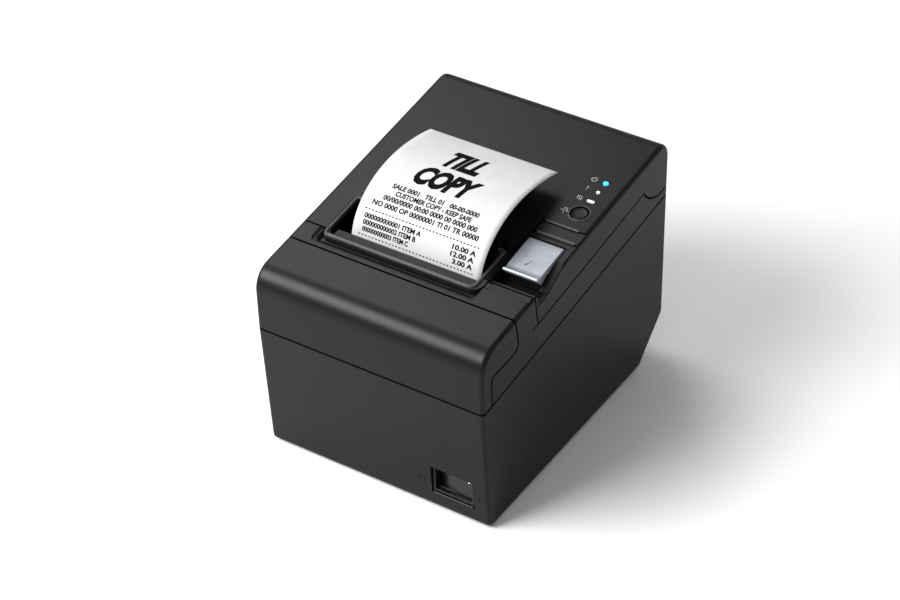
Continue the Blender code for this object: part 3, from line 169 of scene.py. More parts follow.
def moulded(name, colour, roughness, strength=0.30, gloss=0.21):
    """Spark-textured moulded plastic: fine grain in relief, faint flow clouds in colour and gloss."""
    look = Look(name, colour, roughness, IOR=1.5, Specular_IOR_Level=gloss)
    look.relief(look.noise(0.45, 3.0, 0.6), strength, 0.05)
    look.vary_colour(look.noise(38.0, 4.0, 0.55), 0.94, 1.06)
    look.vary_roughness(look.noise(7.0, 5.0, 0.6), roughness - 0.012, roughness + 0.018)
    return look.material


def smooth_plastic(name, colour, roughness):
    """Polished moulding with faint handling marks."""
    look = Look(name, colour, roughness, IOR=1.5)
    look.relief(look.noise(2.2, 4.0, 0.6), 0.12, 0.03)
    look.vary_colour(look.noise(16.0, 3.0), 0.92, 1.08)
    look.vary_roughness(look.noise(3.0, 5.0), roughness - 0.06, roughness + 0.1)
    return look.material


def satin(name, colour, roughness):
    """Silver lacquer on plastic: fine metal flake with faint wear."""
    look = Look(name, colour, roughness, metallic=0.15)
    look.relief(look.noise(0.3, 2.0), 0.08, 0.02)
    look.vary_colour(look.noise(5.0, 4.0), 0.94, 1.06)
    look.vary_roughness(look.noise(1.4, 5.0), roughness - 0.05, roughness + 0.08)
    return look.material


def brushed(name, colour, roughness):
    """Rolled or ground metal: long fine streaks from side to side."""
    look = Look(name, colour, roughness, metallic=1.0)
    streaks = look.noise(0.25, 3.0, 0.6, (0.03, 1.0, 1.0))
    look.relief(streaks, 0.25, 0.02)
    look.vary_roughness(streaks, roughness - 0.08, roughness + 0.12)
    look.vary_colour(look.noise(9.0, 4.0), 0.88, 1.06)
    return look.material


def plated(name, colour, roughness):
    """Zinc plated sheet: faint crystal spangle and blotches."""
    look = Look(name, colour, roughness, metallic=1.0)
    cells = look.node("ShaderNodeTexVoronoi")
    cells.inputs["Scale"].default_value = 1.0 / (3.5 * MM)
    look.link(look.place(), cells.inputs["Vector"])
    look.vary_colour(cells.outputs["Color"], 0.86, 1.08, 0.2, 0.8)
    look.vary_roughness(look.noise(1.5, 4.0), roughness - 0.06, roughness + 0.12)
    look.relief(look.noise(0.8, 3.0), 0.15, 0.02)
    return look.material


def rubber(name, colour):
    """Ground rubber: dull, very fine tooth."""
    look = Look(name, colour, 0.8, IOR=1.45)
    look.relief(look.noise(0.25, 3.0), 0.5, 0.04)
    look.vary_colour(look.noise(6.0, 4.0), 0.8, 1.25)
    return look.material


def coated_paper(name, colour):
    """Thermal paper: a smooth face with very faint fibres."""
    look = Look(name, colour, 0.52, IOR=1.45)
    look.relief(look.noise(0.5, 5.0, 0.65), 0.12, 0.02)
    look.vary_colour(look.noise(12.0, 4.0), 0.965, 1.02)
    return look.material


def paper_edge(name):
    """Side of the wound roll: hundreds of thin rings about the roll's axis."""
    look = Look(name, (0.80, 0.79, 0.76), 0.75)
    rings = look.node("ShaderNodeTexWave", wave_type="RINGS", rings_direction="X")
    rings.inputs["Scale"].default_value = 260.0
    rings.inputs["Distortion"].default_value = 0.5
    centred = look.place()
    low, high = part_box("paper_roll")
    centred.node.inputs["Location"].default_value = (0.0, -(low[1] + high[1]) / 2, -(low[2] + high[2]) / 2)
    look.link(centred, rings.inputs["Vector"])
    look.vary_colour(rings.outputs["Fac"], 0.86, 1.04, 0.2, 0.8)
    look.relief(rings.outputs["Fac"], 0.4, 0.05)
    return look.material


def wound_card(name):
    """Spiral-wound cardboard tube."""
    look = Look(name, (0.36, 0.27, 0.18), 0.85)
    look.vary_colour(look.noise(1.2, 6.0, 0.7, (0.15, 1.0, 1.0)), 0.75, 1.2)
    look.relief(look.noise(0.6, 5.0, 0.7), 0.5, 0.06)
    return look.material


def circuit(name):
    """Green solder mask with a maze of tracks under it."""
    look = Look(name, (0.012, 0.11, 0.05), 0.35, Coat_Weight=0.4)
    tracks = look.node("ShaderNodeTexBrick")
    tracks.inputs["Scale"].default_value = 220.0
    tracks.inputs["Mortar Size"].default_value = 0.03
    tracks.inputs["Color1"].default_value = (0.010, 0.095, 0.042, 1)
    tracks.inputs["Color2"].default_value = (0.016, 0.13, 0.06, 1)
    tracks.inputs["Mortar"].default_value = (0.05, 0.24, 0.10, 1)
    look.link(look.place(), tracks.inputs["Vector"])
    look.link(tracks.outputs["Color"], look.shader.inputs["Base Color"])
    look.relief(tracks.outputs["Fac"], 0.3, 0.04)
    return look.material


def glowing(name, colour, power):
    """A lit lens with a fine frosting."""
    look = Look(name, colour, 0.25)
    look.shader.inputs["Emission Color"].default_value = (*colour, 1.0)
    look.shader.inputs["Emission Strength"].default_value = power
    look.relief(look.noise(0.4, 2.0), 0.1, 0.02)
    look.vary_roughness(look.noise(0.8, 2.0), 0.2, 0.32)
    return look.material


def printed(name, colour, roughness=0.6, gloss=0.4):
    """Ink or paint laid on: slightly uneven in tone."""
    look = Look(name, colour, roughness, Specular_IOR_Level=gloss)
    look.vary_colour(look.noise(0.35, 4.0, 0.7), 0.75, 1.3)
    look.relief(look.noise(0.2, 3.0), 0.2, 0.01)
    return look.material


CHARCOAL = moulded("charcoal_case", (0.0052, 0.0053, 0.0057), 0.36)
# near-black colour for the bevels along seams and openings and for a thin strip at the lever recess: painted
# shade standing in for the shade in the gaps
SEAM_SHADE = moulded("painted_seam_shade", (0.0012, 0.0012, 0.0013), 0.75, 0.15, gloss=0.05)
# light grey for thin bars on the step edges behind the lever and on the sill under the switch: painted
# highlights
HIGHLIGHT_LINE = moulded("painted_highlight_line", (0.075, 0.076, 0.08), 0.34, strength=0.1)
DARK_TRIM = moulded("dark_trim", (0.011, 0.011, 0.0115), 0.38, 0.2)
# grey far lighter than the dark trim, for the rim bars and the button ring: a painted highlight along their
# rounded tops
TRIM_HIGHLIGHT = moulded("trim_painted_highlight", (0.060, 0.060, 0.062), 0.27, strength=0.08)
BLACK = smooth_plastic("black_moulding", (0.0028, 0.0028, 0.003), 0.32)
RIB = moulded("ribbed_lip", (0.004, 0.004, 0.0042), 0.5, 0.2)
HOLDER = moulded("holder_black", (0.013, 0.013, 0.013), 0.5, 0.3)
SILVER = satin("silver_lever", (0.29, 0.31, 0.345), 0.5)
# darker and brighter copies of the lever's silver: painted shade on the dished band and the nose, painted
# highlight on the lip
SILVER_SHADED = satin("silver_painted_shade", (0.20, 0.215, 0.24), 0.5)
SILVER_LIT = satin("silver_painted_highlight", (0.66, 0.69, 0.74), 0.25)
STEEL = brushed("ground_steel", (0.56, 0.56, 0.57), 0.28)
ZINC = plated("zinc_sheet", (0.50, 0.51, 0.52), 0.42)
ALUMINIUM = brushed("head_aluminium", (0.66, 0.67, 0.69), 0.36)
CERAMIC = smooth_plastic("head_glaze", (0.24, 0.21, 0.17), 0.16)
ACETAL = smooth_plastic("gear_acetal", (0.72, 0.70, 0.64), 0.42)
PLATEN_RUBBER = rubber("platen_rubber", (0.018, 0.018, 0.019))
FOOT_RUBBER = rubber("foot_rubber", (0.012, 0.012, 0.012))
PAPER = coated_paper("thermal_paper", (0.50, 0.50, 0.50))
ROLL_SIDE = paper_edge("wound_paper_side")
CARD = wound_card("core_card")
CIRCUIT = circuit("circuit_mask")
BLUE_LENS = glowing("power_lens", (0.02, 0.32, 0.85), 2.2)
WHITE_LENS = glowing("signal_lens", (0.62, 0.63, 0.64), 0.12)
INK = printed("thermal_ink", (0.004, 0.004, 0.0045), 0.9, 0.1)
PAINT = printed("panel_paint", (0.42, 0.43, 0.44))
# darker grey for the lever's embossed mark: painted shade standing in for its relief
LEVER_MARK_SHADE = printed("lever_mark_painted_shade", (0.11, 0.12, 0.13))
WHITE_PAINT = printed("rocker_paint", (0.85, 0.85, 0.85), 0.4)
DARK_PAINT = printed("front_paint", (0.002, 0.002, 0.002), 0.7, 0.1)


# ---------------------------------------------------------------- mesh helpers

def add_object(name, mesh, body, materials):
    """Link a mesh as a piece that rides on a body."""
    piece = bpy.data.objects.new(name, mesh)
    bpy.context.scene.collection.objects.link(piece)
    for made in materials:
        piece.data.materials.append(made)
    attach(piece, body)
    return piece


def grid_mesh(name, points):
    """A mesh over an (m, n, 3) grid of points in millimetres."""
    m, n, _ = points.shape
    index = np.arange(m * n).reshape(m, n)
    quads = np.stack([index[:-1, :-1], index[1:, :-1], index[1:, 1:], index[:-1, 1:]], -1).reshape(-1, 4)
    mesh = bpy.data.meshes.new(name)
    mesh.from_pydata((points.reshape(-1, 3) * MM).tolist(), [], quads.tolist())
    mesh.polygons.foreach_set("use_smooth", np.ones(len(quads), bool))
    return mesh


def outward(mesh):
    """Point a mesh's faces outwards."""
    work = bmesh.new()
    work.from_mesh(mesh)
    bmesh.ops.recalc_face_normals(work, faces=work.faces)
    work.to_mesh(mesh)
    work.free()
    return mesh


def shade_smooth(mesh, angle):
    """Smooth shading, apart from edges sharper than an angle in degrees."""
    mesh.polygons.foreach_set("use_smooth", np.ones(len(mesh.polygons), bool))
    mesh.set_sharp_from_angle(angle=math.radians(angle))


def lofted(name, loops):
    """A closed mesh through equal loops of points in millimetres, both ends capped."""
    loops = np.array(loops, float)
    rows, count, _ = loops.shape
    index = np.arange(rows * count).reshape(rows, count)
    beside = np.roll(index, -1, axis=1)
    faces = np.stack([index[:-1], beside[:-1], beside[1:], index[1:]], -1).reshape(-1, 4).tolist()
    faces += [index[0].tolist(), index[-1].tolist()]
    mesh = bpy.data.meshes.new(name)
    mesh.from_pydata((loops.reshape(-1, 3) * MM).tolist(), [], faces)
    return outward(mesh)


def slab(x0, x1, profile):
    """A closed block: a profile of (y, height above the sloping top) points swept from x0 to x1."""
    return lofted("slab", [[(x, y, top_z(y) + h) for y, h in profile] for x in (x0, x1)])


def carved(mesh, cutters):
    """A mesh with closed cutter meshes taken out of it."""
    body = bpy.data.objects.new("carve", mesh)
    bpy.context.scene.collection.objects.link(body)
    tools = []
    for cutter in cutters:
        tool = bpy.data.objects.new("tool", cutter)
        bpy.context.scene.collection.objects.link(tool)
        step = body.modifiers.new("cut", "BOOLEAN")
        step.operation = "DIFFERENCE"
        step.solver = "EXACT"
        step.object = tool
        tools.append(tool)
    graph = bpy.context.evaluated_depsgraph_get()
    result = bpy.data.meshes.new_from_object(body.evaluated_get(graph))
    for made in tools + [body]:
        bpy.data.objects.remove(made)
    return result


def dressed(node, materials, bevel=0.25, segments=2, angle=34, edge=0, cutters=(), clamp=True):
    """A merged, edge-softened copy of a CAD node that stands for it."""
    source = frame["nodes"][node]
    work = bmesh.new()
    work.from_mesh(source.data)
    work.transform(source.matrix_world)
    bmesh.ops.remove_doubles(work, verts=work.verts, dist=MERGE_DISTANCE)
    bmesh.ops.dissolve_limit(work, angle_limit=math.radians(0.6), verts=work.verts, edges=work.edges)
    mesh = bpy.data.meshes.new("made_" + node)
    work.to_mesh(mesh)
    work.free()
    if cutters:
        mesh = carved(mesh, cutters)
        mesh.materials.clear()
    shade_smooth(mesh, angle)
    piece = add_object("made_" + node, mesh, NODE_BODY[node], materials)
    if bevel:
        step = piece.modifiers.new("soft_edges", "BEVEL")
        step.width = bevel * MM
        step.segments = segments
        step.limit_method = "ANGLE"
        step.angle_limit = math.radians(angle)
        step.use_clamp_overlap = clamp
        step.harden_normals = False
        step.material = edge
        smooth = piece.modifiers.new("even_shading", "WEIGHTED_NORMAL")
        smooth.keep_sharp = True
    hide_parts(node)
    return piece


def top_z(y):
    """Height of the casing's sloping top at y."""
    return TOP_AT_MIDDLE + TOP_SLOPE * y


# ---------------------------------------------------------------- paper

def receipt_path(lengths):
    """Depths and heights at lengths along the receipt: its heading falls off exponentially from upright to a
    gentle downward slope, and the path is the running sum of that heading's cosine and sine."""
    fine = np.linspace(0.0, RECEIPT_LENGTH, 2001)
    middle = (fine[1:] + fine[:-1]) / 2
    heading = np.radians(HEADING_END + HEADING_DROP * np.exp(-(middle - HEADING_FROM) / HEADING_FADE))
    step = fine[1] - fine[0]
    y = RECEIPT_START[0] + np.concatenate([[0.0], np.cumsum(np.cos(heading) * step)])
    z = RECEIPT_START[1] + np.concatenate([[0.0], np.cumsum(np.sin(heading) * step)])
    return np.interp(lengths, fine, y), np.interp(lengths, fine, z)


def receipt_point(x, lengths, lift):
    """Points on the receipt at a sideways place and a length, raised along its outward side."""
    y, z = receipt_path(lengths)
    y2, z2 = receipt_path(lengths + 0.05)
    y1, z1 = receipt_path(lengths - 0.05)
    along = np.stack([y2 - y1, z2 - z1], -1)
    along /= np.linalg.norm(along, axis=-1, keepdims=True)
    return np.stack([x, y - along[..., 1] * lift, z + along[..., 0] * lift], -1)


def make_receipt():
    """The printed sheet: a grid carried along the receipt path, given a thin wall."""
    lengths = np.linspace(0.0, RECEIPT_LENGTH, 121)
    across = np.linspace(PAPER_LEFT, PAPER_RIGHT, 25)
    s, x = np.meshgrid(lengths, across, indexing="ij")
    points = receipt_point(x, s, 0.0)
    piece = add_object("receipt_sheet", grid_mesh("receipt_sheet", points), "cover", [PAPER])
    wall = piece.modifiers.new("thickness", "SOLIDIFY")
    wall.thickness = RECEIPT_WALL * MM
    wall.offset = 0.0
    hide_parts("receipt")


def lettering(words, size, x, s, shear=0.0, stretch=1.0, weight=0.0):
    """Points and faces of a line of type laid flat: x across the paper, s up its length."""
    curve = bpy.data.curves.new("type", "FONT")
    curve.body = words
    curve.size = size
    curve.shear = shear
    curve.offset = weight
    curve.resolution_u = 3
    text = bpy.data.objects.new("type", curve)
    bpy.context.scene.collection.objects.link(text)
    graph = bpy.context.evaluated_depsgraph_get()
    mesh = bpy.data.meshes.new_from_object(text.evaluated_get(graph))
    work = bmesh.new()
    work.from_mesh(mesh)
    for _ in range(MAX_CUTS):
        long_edges = [edge for edge in work.edges if edge.calc_length() > TYPE_STEP]
        if not long_edges:
            break
        bmesh.ops.subdivide_edges(work, edges=long_edges, cuts=1)
        bmesh.ops.triangulate(work, faces=work.faces)
    bmesh.ops.triangulate(work, faces=work.faces)
    work.to_mesh(mesh)
    work.free()
    points = np.zeros(len(mesh.vertices) * 3)
    mesh.vertices.foreach_get("co", points)
    points = points.reshape(-1, 3)
    faces = [tuple(face.vertices) for face in mesh.polygons]
    bpy.data.objects.remove(text)
    return points[:, 0] * stretch + x, points[:, 1] + s, faces


def fitted(words, x0, x1, s, height, **settings):
    """A line of type stretched to reach from x0 to x1 with capitals of a height."""
    size = height / CAPITAL_HEIGHT
    x, y, _ = lettering(words, size, 0.0, 0.0, **settings)
    stretch = (x1 - x0) / (x.max() - x.min())
    return lettering(words, size, x0 - x.min() * stretch, s, stretch=stretch, **settings)


def make_print():
    """Generic receipt wording wrapped onto the sheet: a slanted heading, details, items and rules."""
    heading = [("TILL", -15.2, 6.4, 66.4, 14.4, 1.15), ("COPY", -22.6, 14.6, 48.4, 12.4, 1.05)]
    body = [
        ("SALE 0001   TILL 01   00-00-0000", -29.6, 23.3, 40.3, 2.7),
        ("CUSTOMER COPY - KEEP SAFE", -25.6, 20.8, 36.4, 2.7),
        ("00/00/0000 00:00 0000 00 0000 000", -31.0, 26.4, 32.5, 2.7),
        ("NO 0000 OP 00000001 TI 01 TR 00000", -35.6, 29.4, 28.4, 2.7),
        ("000000000001 ITEM A", -37.2, -2.2, 20.6, 2.5),
        ("000000000002 ITEM B", -37.0, -4.4, 17.0, 2.5),
        ("000000000003 ITEM C", -36.6, -8.0, 13.4, 2.5),
        ("10.00 A", 17.0, 31.4, 20.6, 2.5),
        ("12.00 A", 17.0, 31.2, 17.0, 2.5),
        ("3.00 A", 19.0, 31.2, 13.4, 2.5),
        ("- " * 34, -38.2, 31.8, 24.6, 2.2),
        ("- " * 34, -38.4, 32.2, 10.6, 2.2),
    ]
    lines = [fitted(*line, shear=0.32, weight=bold) for *line, bold in heading]
    lines += [fitted(*line, weight=0.13) for line in body]
    points, faces, start = [], [], 0
    for x, s, found in lines:
        points.append(receipt_point(x, s, INK_LIFT))
        faces += [tuple(i + start for i in face) for face in found]
        start += len(x)
    mesh = bpy.data.meshes.new("receipt_print")
    mesh.from_pydata((np.concatenate(points) * MM).tolist(), [], faces)
    add_object("receipt_print", mesh, "cover", [INK])


# ---------------------------------------------------------------- printed marks

def flat_marks(name, shapes, to_surface, body, made):
    """Painted strips, each a path of points and a width: the path's two sides lie half the width away
    along its normal, and to_surface puts them on the printer."""
    points, faces = [], []
    for path, width in shapes:
        path = np.array(path, float)
        along = np.gradient(path, axis=0)
        along /= np.linalg.norm(along, axis=1)[:, None]
        side = np.stack([-along[:, 1], along[:, 0]], 1) * width / 2
        start = len(points)
        points += [to_surface(*p) for p in path + side] + [to_surface(*p) for p in path - side]
        count = len(path)
        faces += [(i, i + count, i + count + 1, i + 1) for i in range(start, start + count - 1)]
    mesh = bpy.data.meshes.new(name)
    mesh.from_pydata((np.array(points) * MM).tolist(), [], faces)
    return add_object(name, outward(mesh), body, [made])


def ring(centre, radius, start=0.0, end=360.0, count=25):
    """Points round part of a circle."""
    a = np.radians(np.linspace(start, end, count))
    return np.stack([centre[0] + radius * np.cos(a), centre[1] + radius * np.sin(a)], 1)


def power_sign(x, y, r, width):
    """A broken ring with an upright bar."""
    return [(ring((x, y), r, 125, 415), width), ([(x, y + 0.25 * r), (x, y + 1.25 * r)], width)]


def make_panel_marks():
    """Marks beside the lights and the button: power, alert, paper and feed."""
    on_top = lambda x, y: (x, y, top_z(y) + PRINT_LIFT)
    shapes = power_sign(51.2, 46.8, 1.45, 0.36)
    shapes += [([(51.2, 41.0), (51.2, 39.0)], 0.42), ([(51.2, 38.4), (51.2, 37.9)], 0.45)]
    shapes += [(ring((51.4, 31.2), 1.3), 0.3), ([(49.7, 32.6), (53.3, 29.6)], 0.3)]
    shapes += [([(47.2, 19.2), (48.6, 19.2), (48.6, 21.2), (50.2, 21.2), (50.2, 19.2), (51.8, 19.2)], 0.5)]
    shapes += [([(49.4, 18.4), (49.4, 17.4)], 0.5)]
    flat_marks("panel_marks", shapes, on_top, "cover", PAINT)


def front_y(z):
    """The front face below the seam leans: its distance forward grows with height."""
    return FRONT_FOOT[0] - (z - FRONT_FOOT[1]) * FRONT_LEAN


def make_front_marks():
    """Power sign at the left of the switch and a short bar at its right."""
    on_front = lambda x, z: (x, front_y(z) - PRINT_LIFT, z)
    shapes = power_sign(28.6, 18.4, 1.9, 0.42)
    shapes += [([(64.1, 17.9), (64.1, 20.5)], 0.42)]
    flat_marks("front_marks", shapes, on_front, "base", DARK_PAINT)


# ---------------------------------------------------------------- dressing the frame

def dress_case():
    """Casing pieces with softened edges; their bevels take a near-black colour, painted shade standing in for
    the shade down in the seams and gaps. What stood proud of the sloping top round the exit is taken off, and
    the wall right of the lever falls in a curve beside it."""
    above = [(-70.0, 0.03), (-10.0, 0.03), (-10.0, 6.0), (-70.0, 6.0)]
    side_slope = [(-5.5, 0.1), (-5.5, 6.0), (-33.0, 6.0), (-33.0, -7.4), (-31.0, -6.9), (-24.0, -4.2),
                  (-14.0, -1.2)]
    for node in ("lower_case", "cutter_cover"):
        dressed(node, [CHARCOAL, SEAM_SHADE], 0.42, 2, 34, 1, clamp=False)
    dressed("upper_case", [CHARCOAL, SEAM_SHADE], 0.3, 2, 40, 1, cutters=[groove_cutter()], clamp=False)
    dressed("roll_cover", [CHARCOAL, SEAM_SHADE], 0.3, 2, 34, 1, clamp=False,
            cutters=[slab(-57.0, 42.7, above), slab(64.2, 75.0, side_slope)])
    dressed("exit_rim", [DARK_TRIM], 0.2, 2, 30, cutters=[slab(-60.0, 60.0, above)])
    dressed("feed_button", [CHARCOAL, SEAM_SHADE], 0.12, 2, 30, 1)
    dressed("power_rocker", [BLACK], 0.3, 3, 30)
    dressed("switch_housing", [BLACK], 0.25, 2, 30)
    dressed("power_light", [BLUE_LENS], 0.0)
    dressed("error_light", [WHITE_LENS], 0.0)
    dressed("paper_light", [WHITE_LENS], 0.0)


def groove_cutter():
    """What is taken out in front of the rim: an outline that shrinks by r cos a as it sinks by
    r (1 - sin a), which leaves a rounded shoulder, then falls straight to the rim's foot."""
    radius, loops = 4.6, []
    turns = np.radians(np.linspace(90.0, 44.0, 9))
    levels = [(0.0, 3.0)] + [(radius * math.cos(a), radius * (math.sin(a) - 1)) for a in turns]
    levels.append((4.3, -2.3))
    for inset, h in levels:
        corner = 5.0 - inset
        front, left, right = -59.6 + inset, -58.6 + inset, 44.6 - inset
        loop = [(left + corner * (1 - math.cos(a)), front + corner * (1 - math.sin(a)))
                for a in np.radians(np.linspace(0, 90, 7))]
        loop += [(right - corner * (1 - math.sin(a)), front + corner * (1 - math.cos(a)))
                 for a in np.radians(np.linspace(0, 90, 7))]
        loop += [(right, -46.0), (left, -46.0)]
        loops.append([(x, y, top_z(y) + h) for x, y in loop])
    return lofted("groove", loops)


def bar(name, path, half, height, body, made, sink=1.2, closed=False):
    """A rounded bar laid on the sloping top: across it the height follows sin t to the power 0.7
    while the offset follows cos t, carried along a plan path."""
    path = np.array(path, float)
    if closed:
        along = np.roll(path, -1, 0) - np.roll(path, 1, 0)
    else:
        along = np.gradient(path, axis=0)
    along /= np.linalg.norm(along, axis=1)[:, None]
    side = np.stack([-along[:, 1], along[:, 0]], 1)
    t = np.linspace(0.0, math.pi, 13)
    offset = np.concatenate([[half], half * np.cos(t), [-half]])
    rise = np.concatenate([[-sink], height * np.sin(t) ** 0.7, [-sink]])
    loops = []
    for spot, across in zip(path, side):
        plan = spot[None, :] + across[None, :] * offset[:, None]
        loops.append(np.column_stack([plan, top_z(plan[:, 1]) + rise]))
    if closed:
        loops.append(loops[0])
    mesh = lofted(name, loops)
    shade_smooth(mesh, 50)
    return add_object(name, mesh, body, [made])


def bent(points, radii, steps=7):
    """A plan path through corner points. Each inner corner is rounded by a parabola that starts and
    ends its radius away: radius times (1 - t) squared back and t squared on."""
    path = [points[0]]
    for before, here, after, radius in zip(points, points[1:], points[2:], radii):
        a = (np.array(before) - here) / np.linalg.norm(np.array(before) - here)
        b = (np.array(after) - here) / np.linalg.norm(np.array(after) - here)
        for k in range(steps + 1):
            t = k / steps
            path.append(tuple(np.array(here) + radius * ((1 - t) ** 2 * a + t ** 2 * b)))
    path.append(points[-1])
    return path


def crosswise(x0, x1, y):
    """A straight plan path from side to side."""
    return [(x0, y), ((x0 + x1) / 2, y), (x1, y)]


def make_exit_details():
    """Rounded rim bars round the paper exit and a ring round the button, in a grey far lighter than the trim:
    a painted highlight on their tops. Step lines on the cover, light grey as painted highlights, and a
    near-black strip at the lever recess as painted shade.
    """
    front = bent([(-53.6, -48.4), (-53.6, -52.0), (38.4, -52.0), (38.4, -43.7)], (2.4, 4.0))
    bar("rim_front", front, 1.0, 1.2, NODE_BODY["exit_rim"], TRIM_HIGHLIGHT)
    left = bent([(-53.6, -47.6), (-53.6, -20.6), (-44.0, -20.6)], (2.2,))
    bar("rim_left", left, 0.95, 1.0, "cover", TRIM_HIGHLIGHT)
    right = bent([(38.4, -42.9), (38.4, -21.6), (34.6, -21.6)], (2.4,))
    bar("rim_right", right, 1.0, 1.2, "cover", TRIM_HIGHLIGHT)
    # a near-black strip along the recess's front edge: painted shade where the step down lies in shade
    bar("recess_seam", crosswise(41.8, 68.6, -43.85), 0.33, 0.06, "cover", SEAM_SHADE, 0.1)
    make_ribbed_lip()
    # the step lines are light grey bars: painted highlights along the step edges
    bar("upper_step", crosswise(44.6, 64.4, 8.45), 0.5, 0.45, "cover", HIGHLIGHT_LINE, 0.2)
    bar("lower_step", crosswise(45.0, 67.2, -0.45), 0.5, -0.1, "cover", HIGHLIGHT_LINE, 1.0)
    around = ring(BUTTON, 5.6, count=49)[:-1]
    bar("button_ring", around, 0.5, 0.5, "cover", TRIM_HIGHLIGHT, 0.2, closed=True)


def make_ribbed_lip():
    """The lip that the paper slides over: a falling slope less a cosine with five ribs along y."""
    front, back, foot = -50.6, -44.2, -4.0
    y = np.linspace(front, back, 61)
    run = y - front
    wave = -0.95 - 0.25 * np.cos(run / (back - front) * 5 * 2 * math.pi) - 0.10 * run
    mesh = slab(-49.6, 37.6, list(zip(y, wave)) + [(back, foot), (front, foot)])
    shade_smooth(mesh, 60)
    add_object("ribbed_lip", mesh, NODE_BODY["exit_rim"], [RIB])


# the lever from the side: y and height above the sloping top, forwards over it and back beneath
LEVER_PROFILE = (
    (-5.3, -1.7), (-5.6, -0.8), (-6.4, -0.1), (-9.0, 0.15), (-14.0, 0.1), (-19.0, -0.02), (-24.0, -0.15),
    (-28.3, -0.35), (-28.7, -0.62), (-29.8, -0.62), (-30.9, -0.3), (-31.6, 0.15), (-32.1, 0.7), (-32.5, 0.85),
    (-32.9, 0.6), (-33.0, 0.1), (-32.6, -0.7), (-31.6, -2.2), (-30.4, -3.8), (-29.0, -5.6), (-28.0, -5.9),
    (-26.4, -5.0), (-24.0, -4.0), (-9.0, -3.6), (-5.6, -3.2),
)


def make_lever():
    """The open lever: a side profile with a dished front band and a raised lip, swept across. The band and
    the nose are a darker silver, painted shade in the dish and under the nose, and the lip a brighter silver,
    a painted highlight."""
    outline = np.array(LEVER_PROFILE)
    mesh = slab(LEVER_LEFT, LEVER_RIGHT, outline)
    y, h = ((outline + np.roll(outline, -1, axis=0)) / 2).T
    band = (y > -31.3) & (y < -28.4) & (h > -1)
    lip = (y < -31.3) & (h > -0.4)
    nose = (h < -1) & (y < -28)
    # index per face: 1 is painted shade, 2 is painted highlight, 0 is plain silver
    painted_light_index = np.select([band, lip, nose], [1, 2, 1], 0)
    mesh.polygons.foreach_set("material_index", np.concatenate([painted_light_index, [0, 0]]).astype("i4"))
    shade_smooth(mesh, 40)
    piece = add_object("lever_tile", mesh, "lever", [SILVER, SILVER_SHADED, SILVER_LIT])
    step = piece.modifiers.new("soft_edges", "BEVEL")
    step.width = 0.35 * MM
    step.segments = 3
    step.limit_method = "ANGLE"
    step.angle_limit = math.radians(50)
    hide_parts("open_lever")
    on_lever = lambda x, y: (x, y, top_z(y) + 0.03)
    # the embossed mark drawn as darker grey strokes: painted shade standing in for its relief
    strokes = [([(52.9, -25.2), (54.2, -20.9)], 0.32), ([(52.0, -25.3), (53.3, -23.6)], 0.26)]
    flat_marks("lever_mark", strokes, on_lever, "lever", LEVER_MARK_SHADE)


def make_switch_details():
    """White dot where a ray meets the rocker, and a thin round bar under the switch whose light grey is a
    painted highlight along the sill.
    """
    rocker = frame["nodes"]["power_rocker"]
    work = bmesh.new()
    work.from_mesh(rocker.data)
    work.transform(rocker.matrix_world)
    spot = BVHTree.FromBMesh(work).ray_cast(Vector((56.2 * MM, -0.12, 25.2 * MM)), Vector((0, 1, 0)))[0]
    work.free()
    if spot is not None:
        spot = spot / MM
        angles = np.linspace(0, 2 * math.pi, 17)[:-1]
        loops = [[(spot.x + r * math.cos(a), spot.y - lift, spot.z + r * math.sin(a)) for a in angles]
                 for r, lift in ((0.65, 0.0), (0.6, 0.12), (0.3, 0.16))]
        add_object("rocker_dot", lofted("rocker_dot", loops), "rocker", [WHITE_PAINT])
    t = np.linspace(0, 2 * math.pi, 13)[:-1]
    # the sill bar is light grey: a painted highlight along the recess's lower edge
    sill = [(front_y(11.4) + 0.15 + 0.3 * math.cos(a), 11.45 + 0.22 * math.sin(a)) for a in t]
    loops = [[(x, y, z) for y, z in sill] for x in np.linspace(35.4, 59.8, 9)]
    add_object("switch_sill", lofted("switch_sill", loops), "base", [HIGHLIGHT_LINE])


def dress_inside():
    """Mechanism pieces."""
    finishes = {
        "roll_holder": (HOLDER, 0.3), "platen_holder": (DARK_TRIM, 0.3), "mechanism_frame": (ZINC, 0.12),
        "head_plate": (CERAMIC, 0.1), "head_heatsink": (ALUMINIUM, 0.15), "fixed_blade": (STEEL, 0.05),
        "moving_blade": (STEEL, 0.05), "blade_carriage": (ACETAL, 0.08), "cutter_gear": (ACETAL, 0.08),
        "cutter_pinion": (STEEL, 0.05), "cutter_base": (ZINC, 0.1), "cutter_motor": (ZINC, 0.5),
        "feed_motor": (ZINC, 0.6), "feed_pinion": (STEEL, 0.05), "idler_gear": (ACETAL, 0.08),
        "second_idler_gear": (ACETAL, 0.08), "platen_gear": (ACETAL, 0.08), "platen_shaft": (STEEL, 0.3),
        "platen_rubber": (PLATEN_RUBBER, 0.2), "platen_bearing_left": (ZINC, 0.15),
        "platen_bearing_right": (ZINC, 0.15), "roll_core": (CARD, 0.1), "main_board": (CIRCUIT, 0.1),
        "panel_board": (CIRCUIT, 0.1), "paper_sensor": (BLACK, 0.2), "hinge_pin_left": (STEEL, 0.2),
        "hinge_pin_right": (STEEL, 0.2), "dc_inlet": (BLACK, 0.15), "usb_socket": (STEEL, 0.12),
        "drawer_socket": (BLACK, 0.15), "serial_port": (STEEL, 0.12), "head_spring_left": (STEEL, 0.0),
        "head_spring_right": (STEEL, 0.0), "paper_web": (PAPER, 0.0),
    }
    for k in range(1, 5):
        finishes[f"foot_{k}"] = (FOOT_RUBBER, 0.15)
        finishes[f"case_screw_{k}"] = (ZINC, 0.08)
    for node, (made, bevel) in finishes.items():
        dressed(node, [made], bevel, 2, 32)


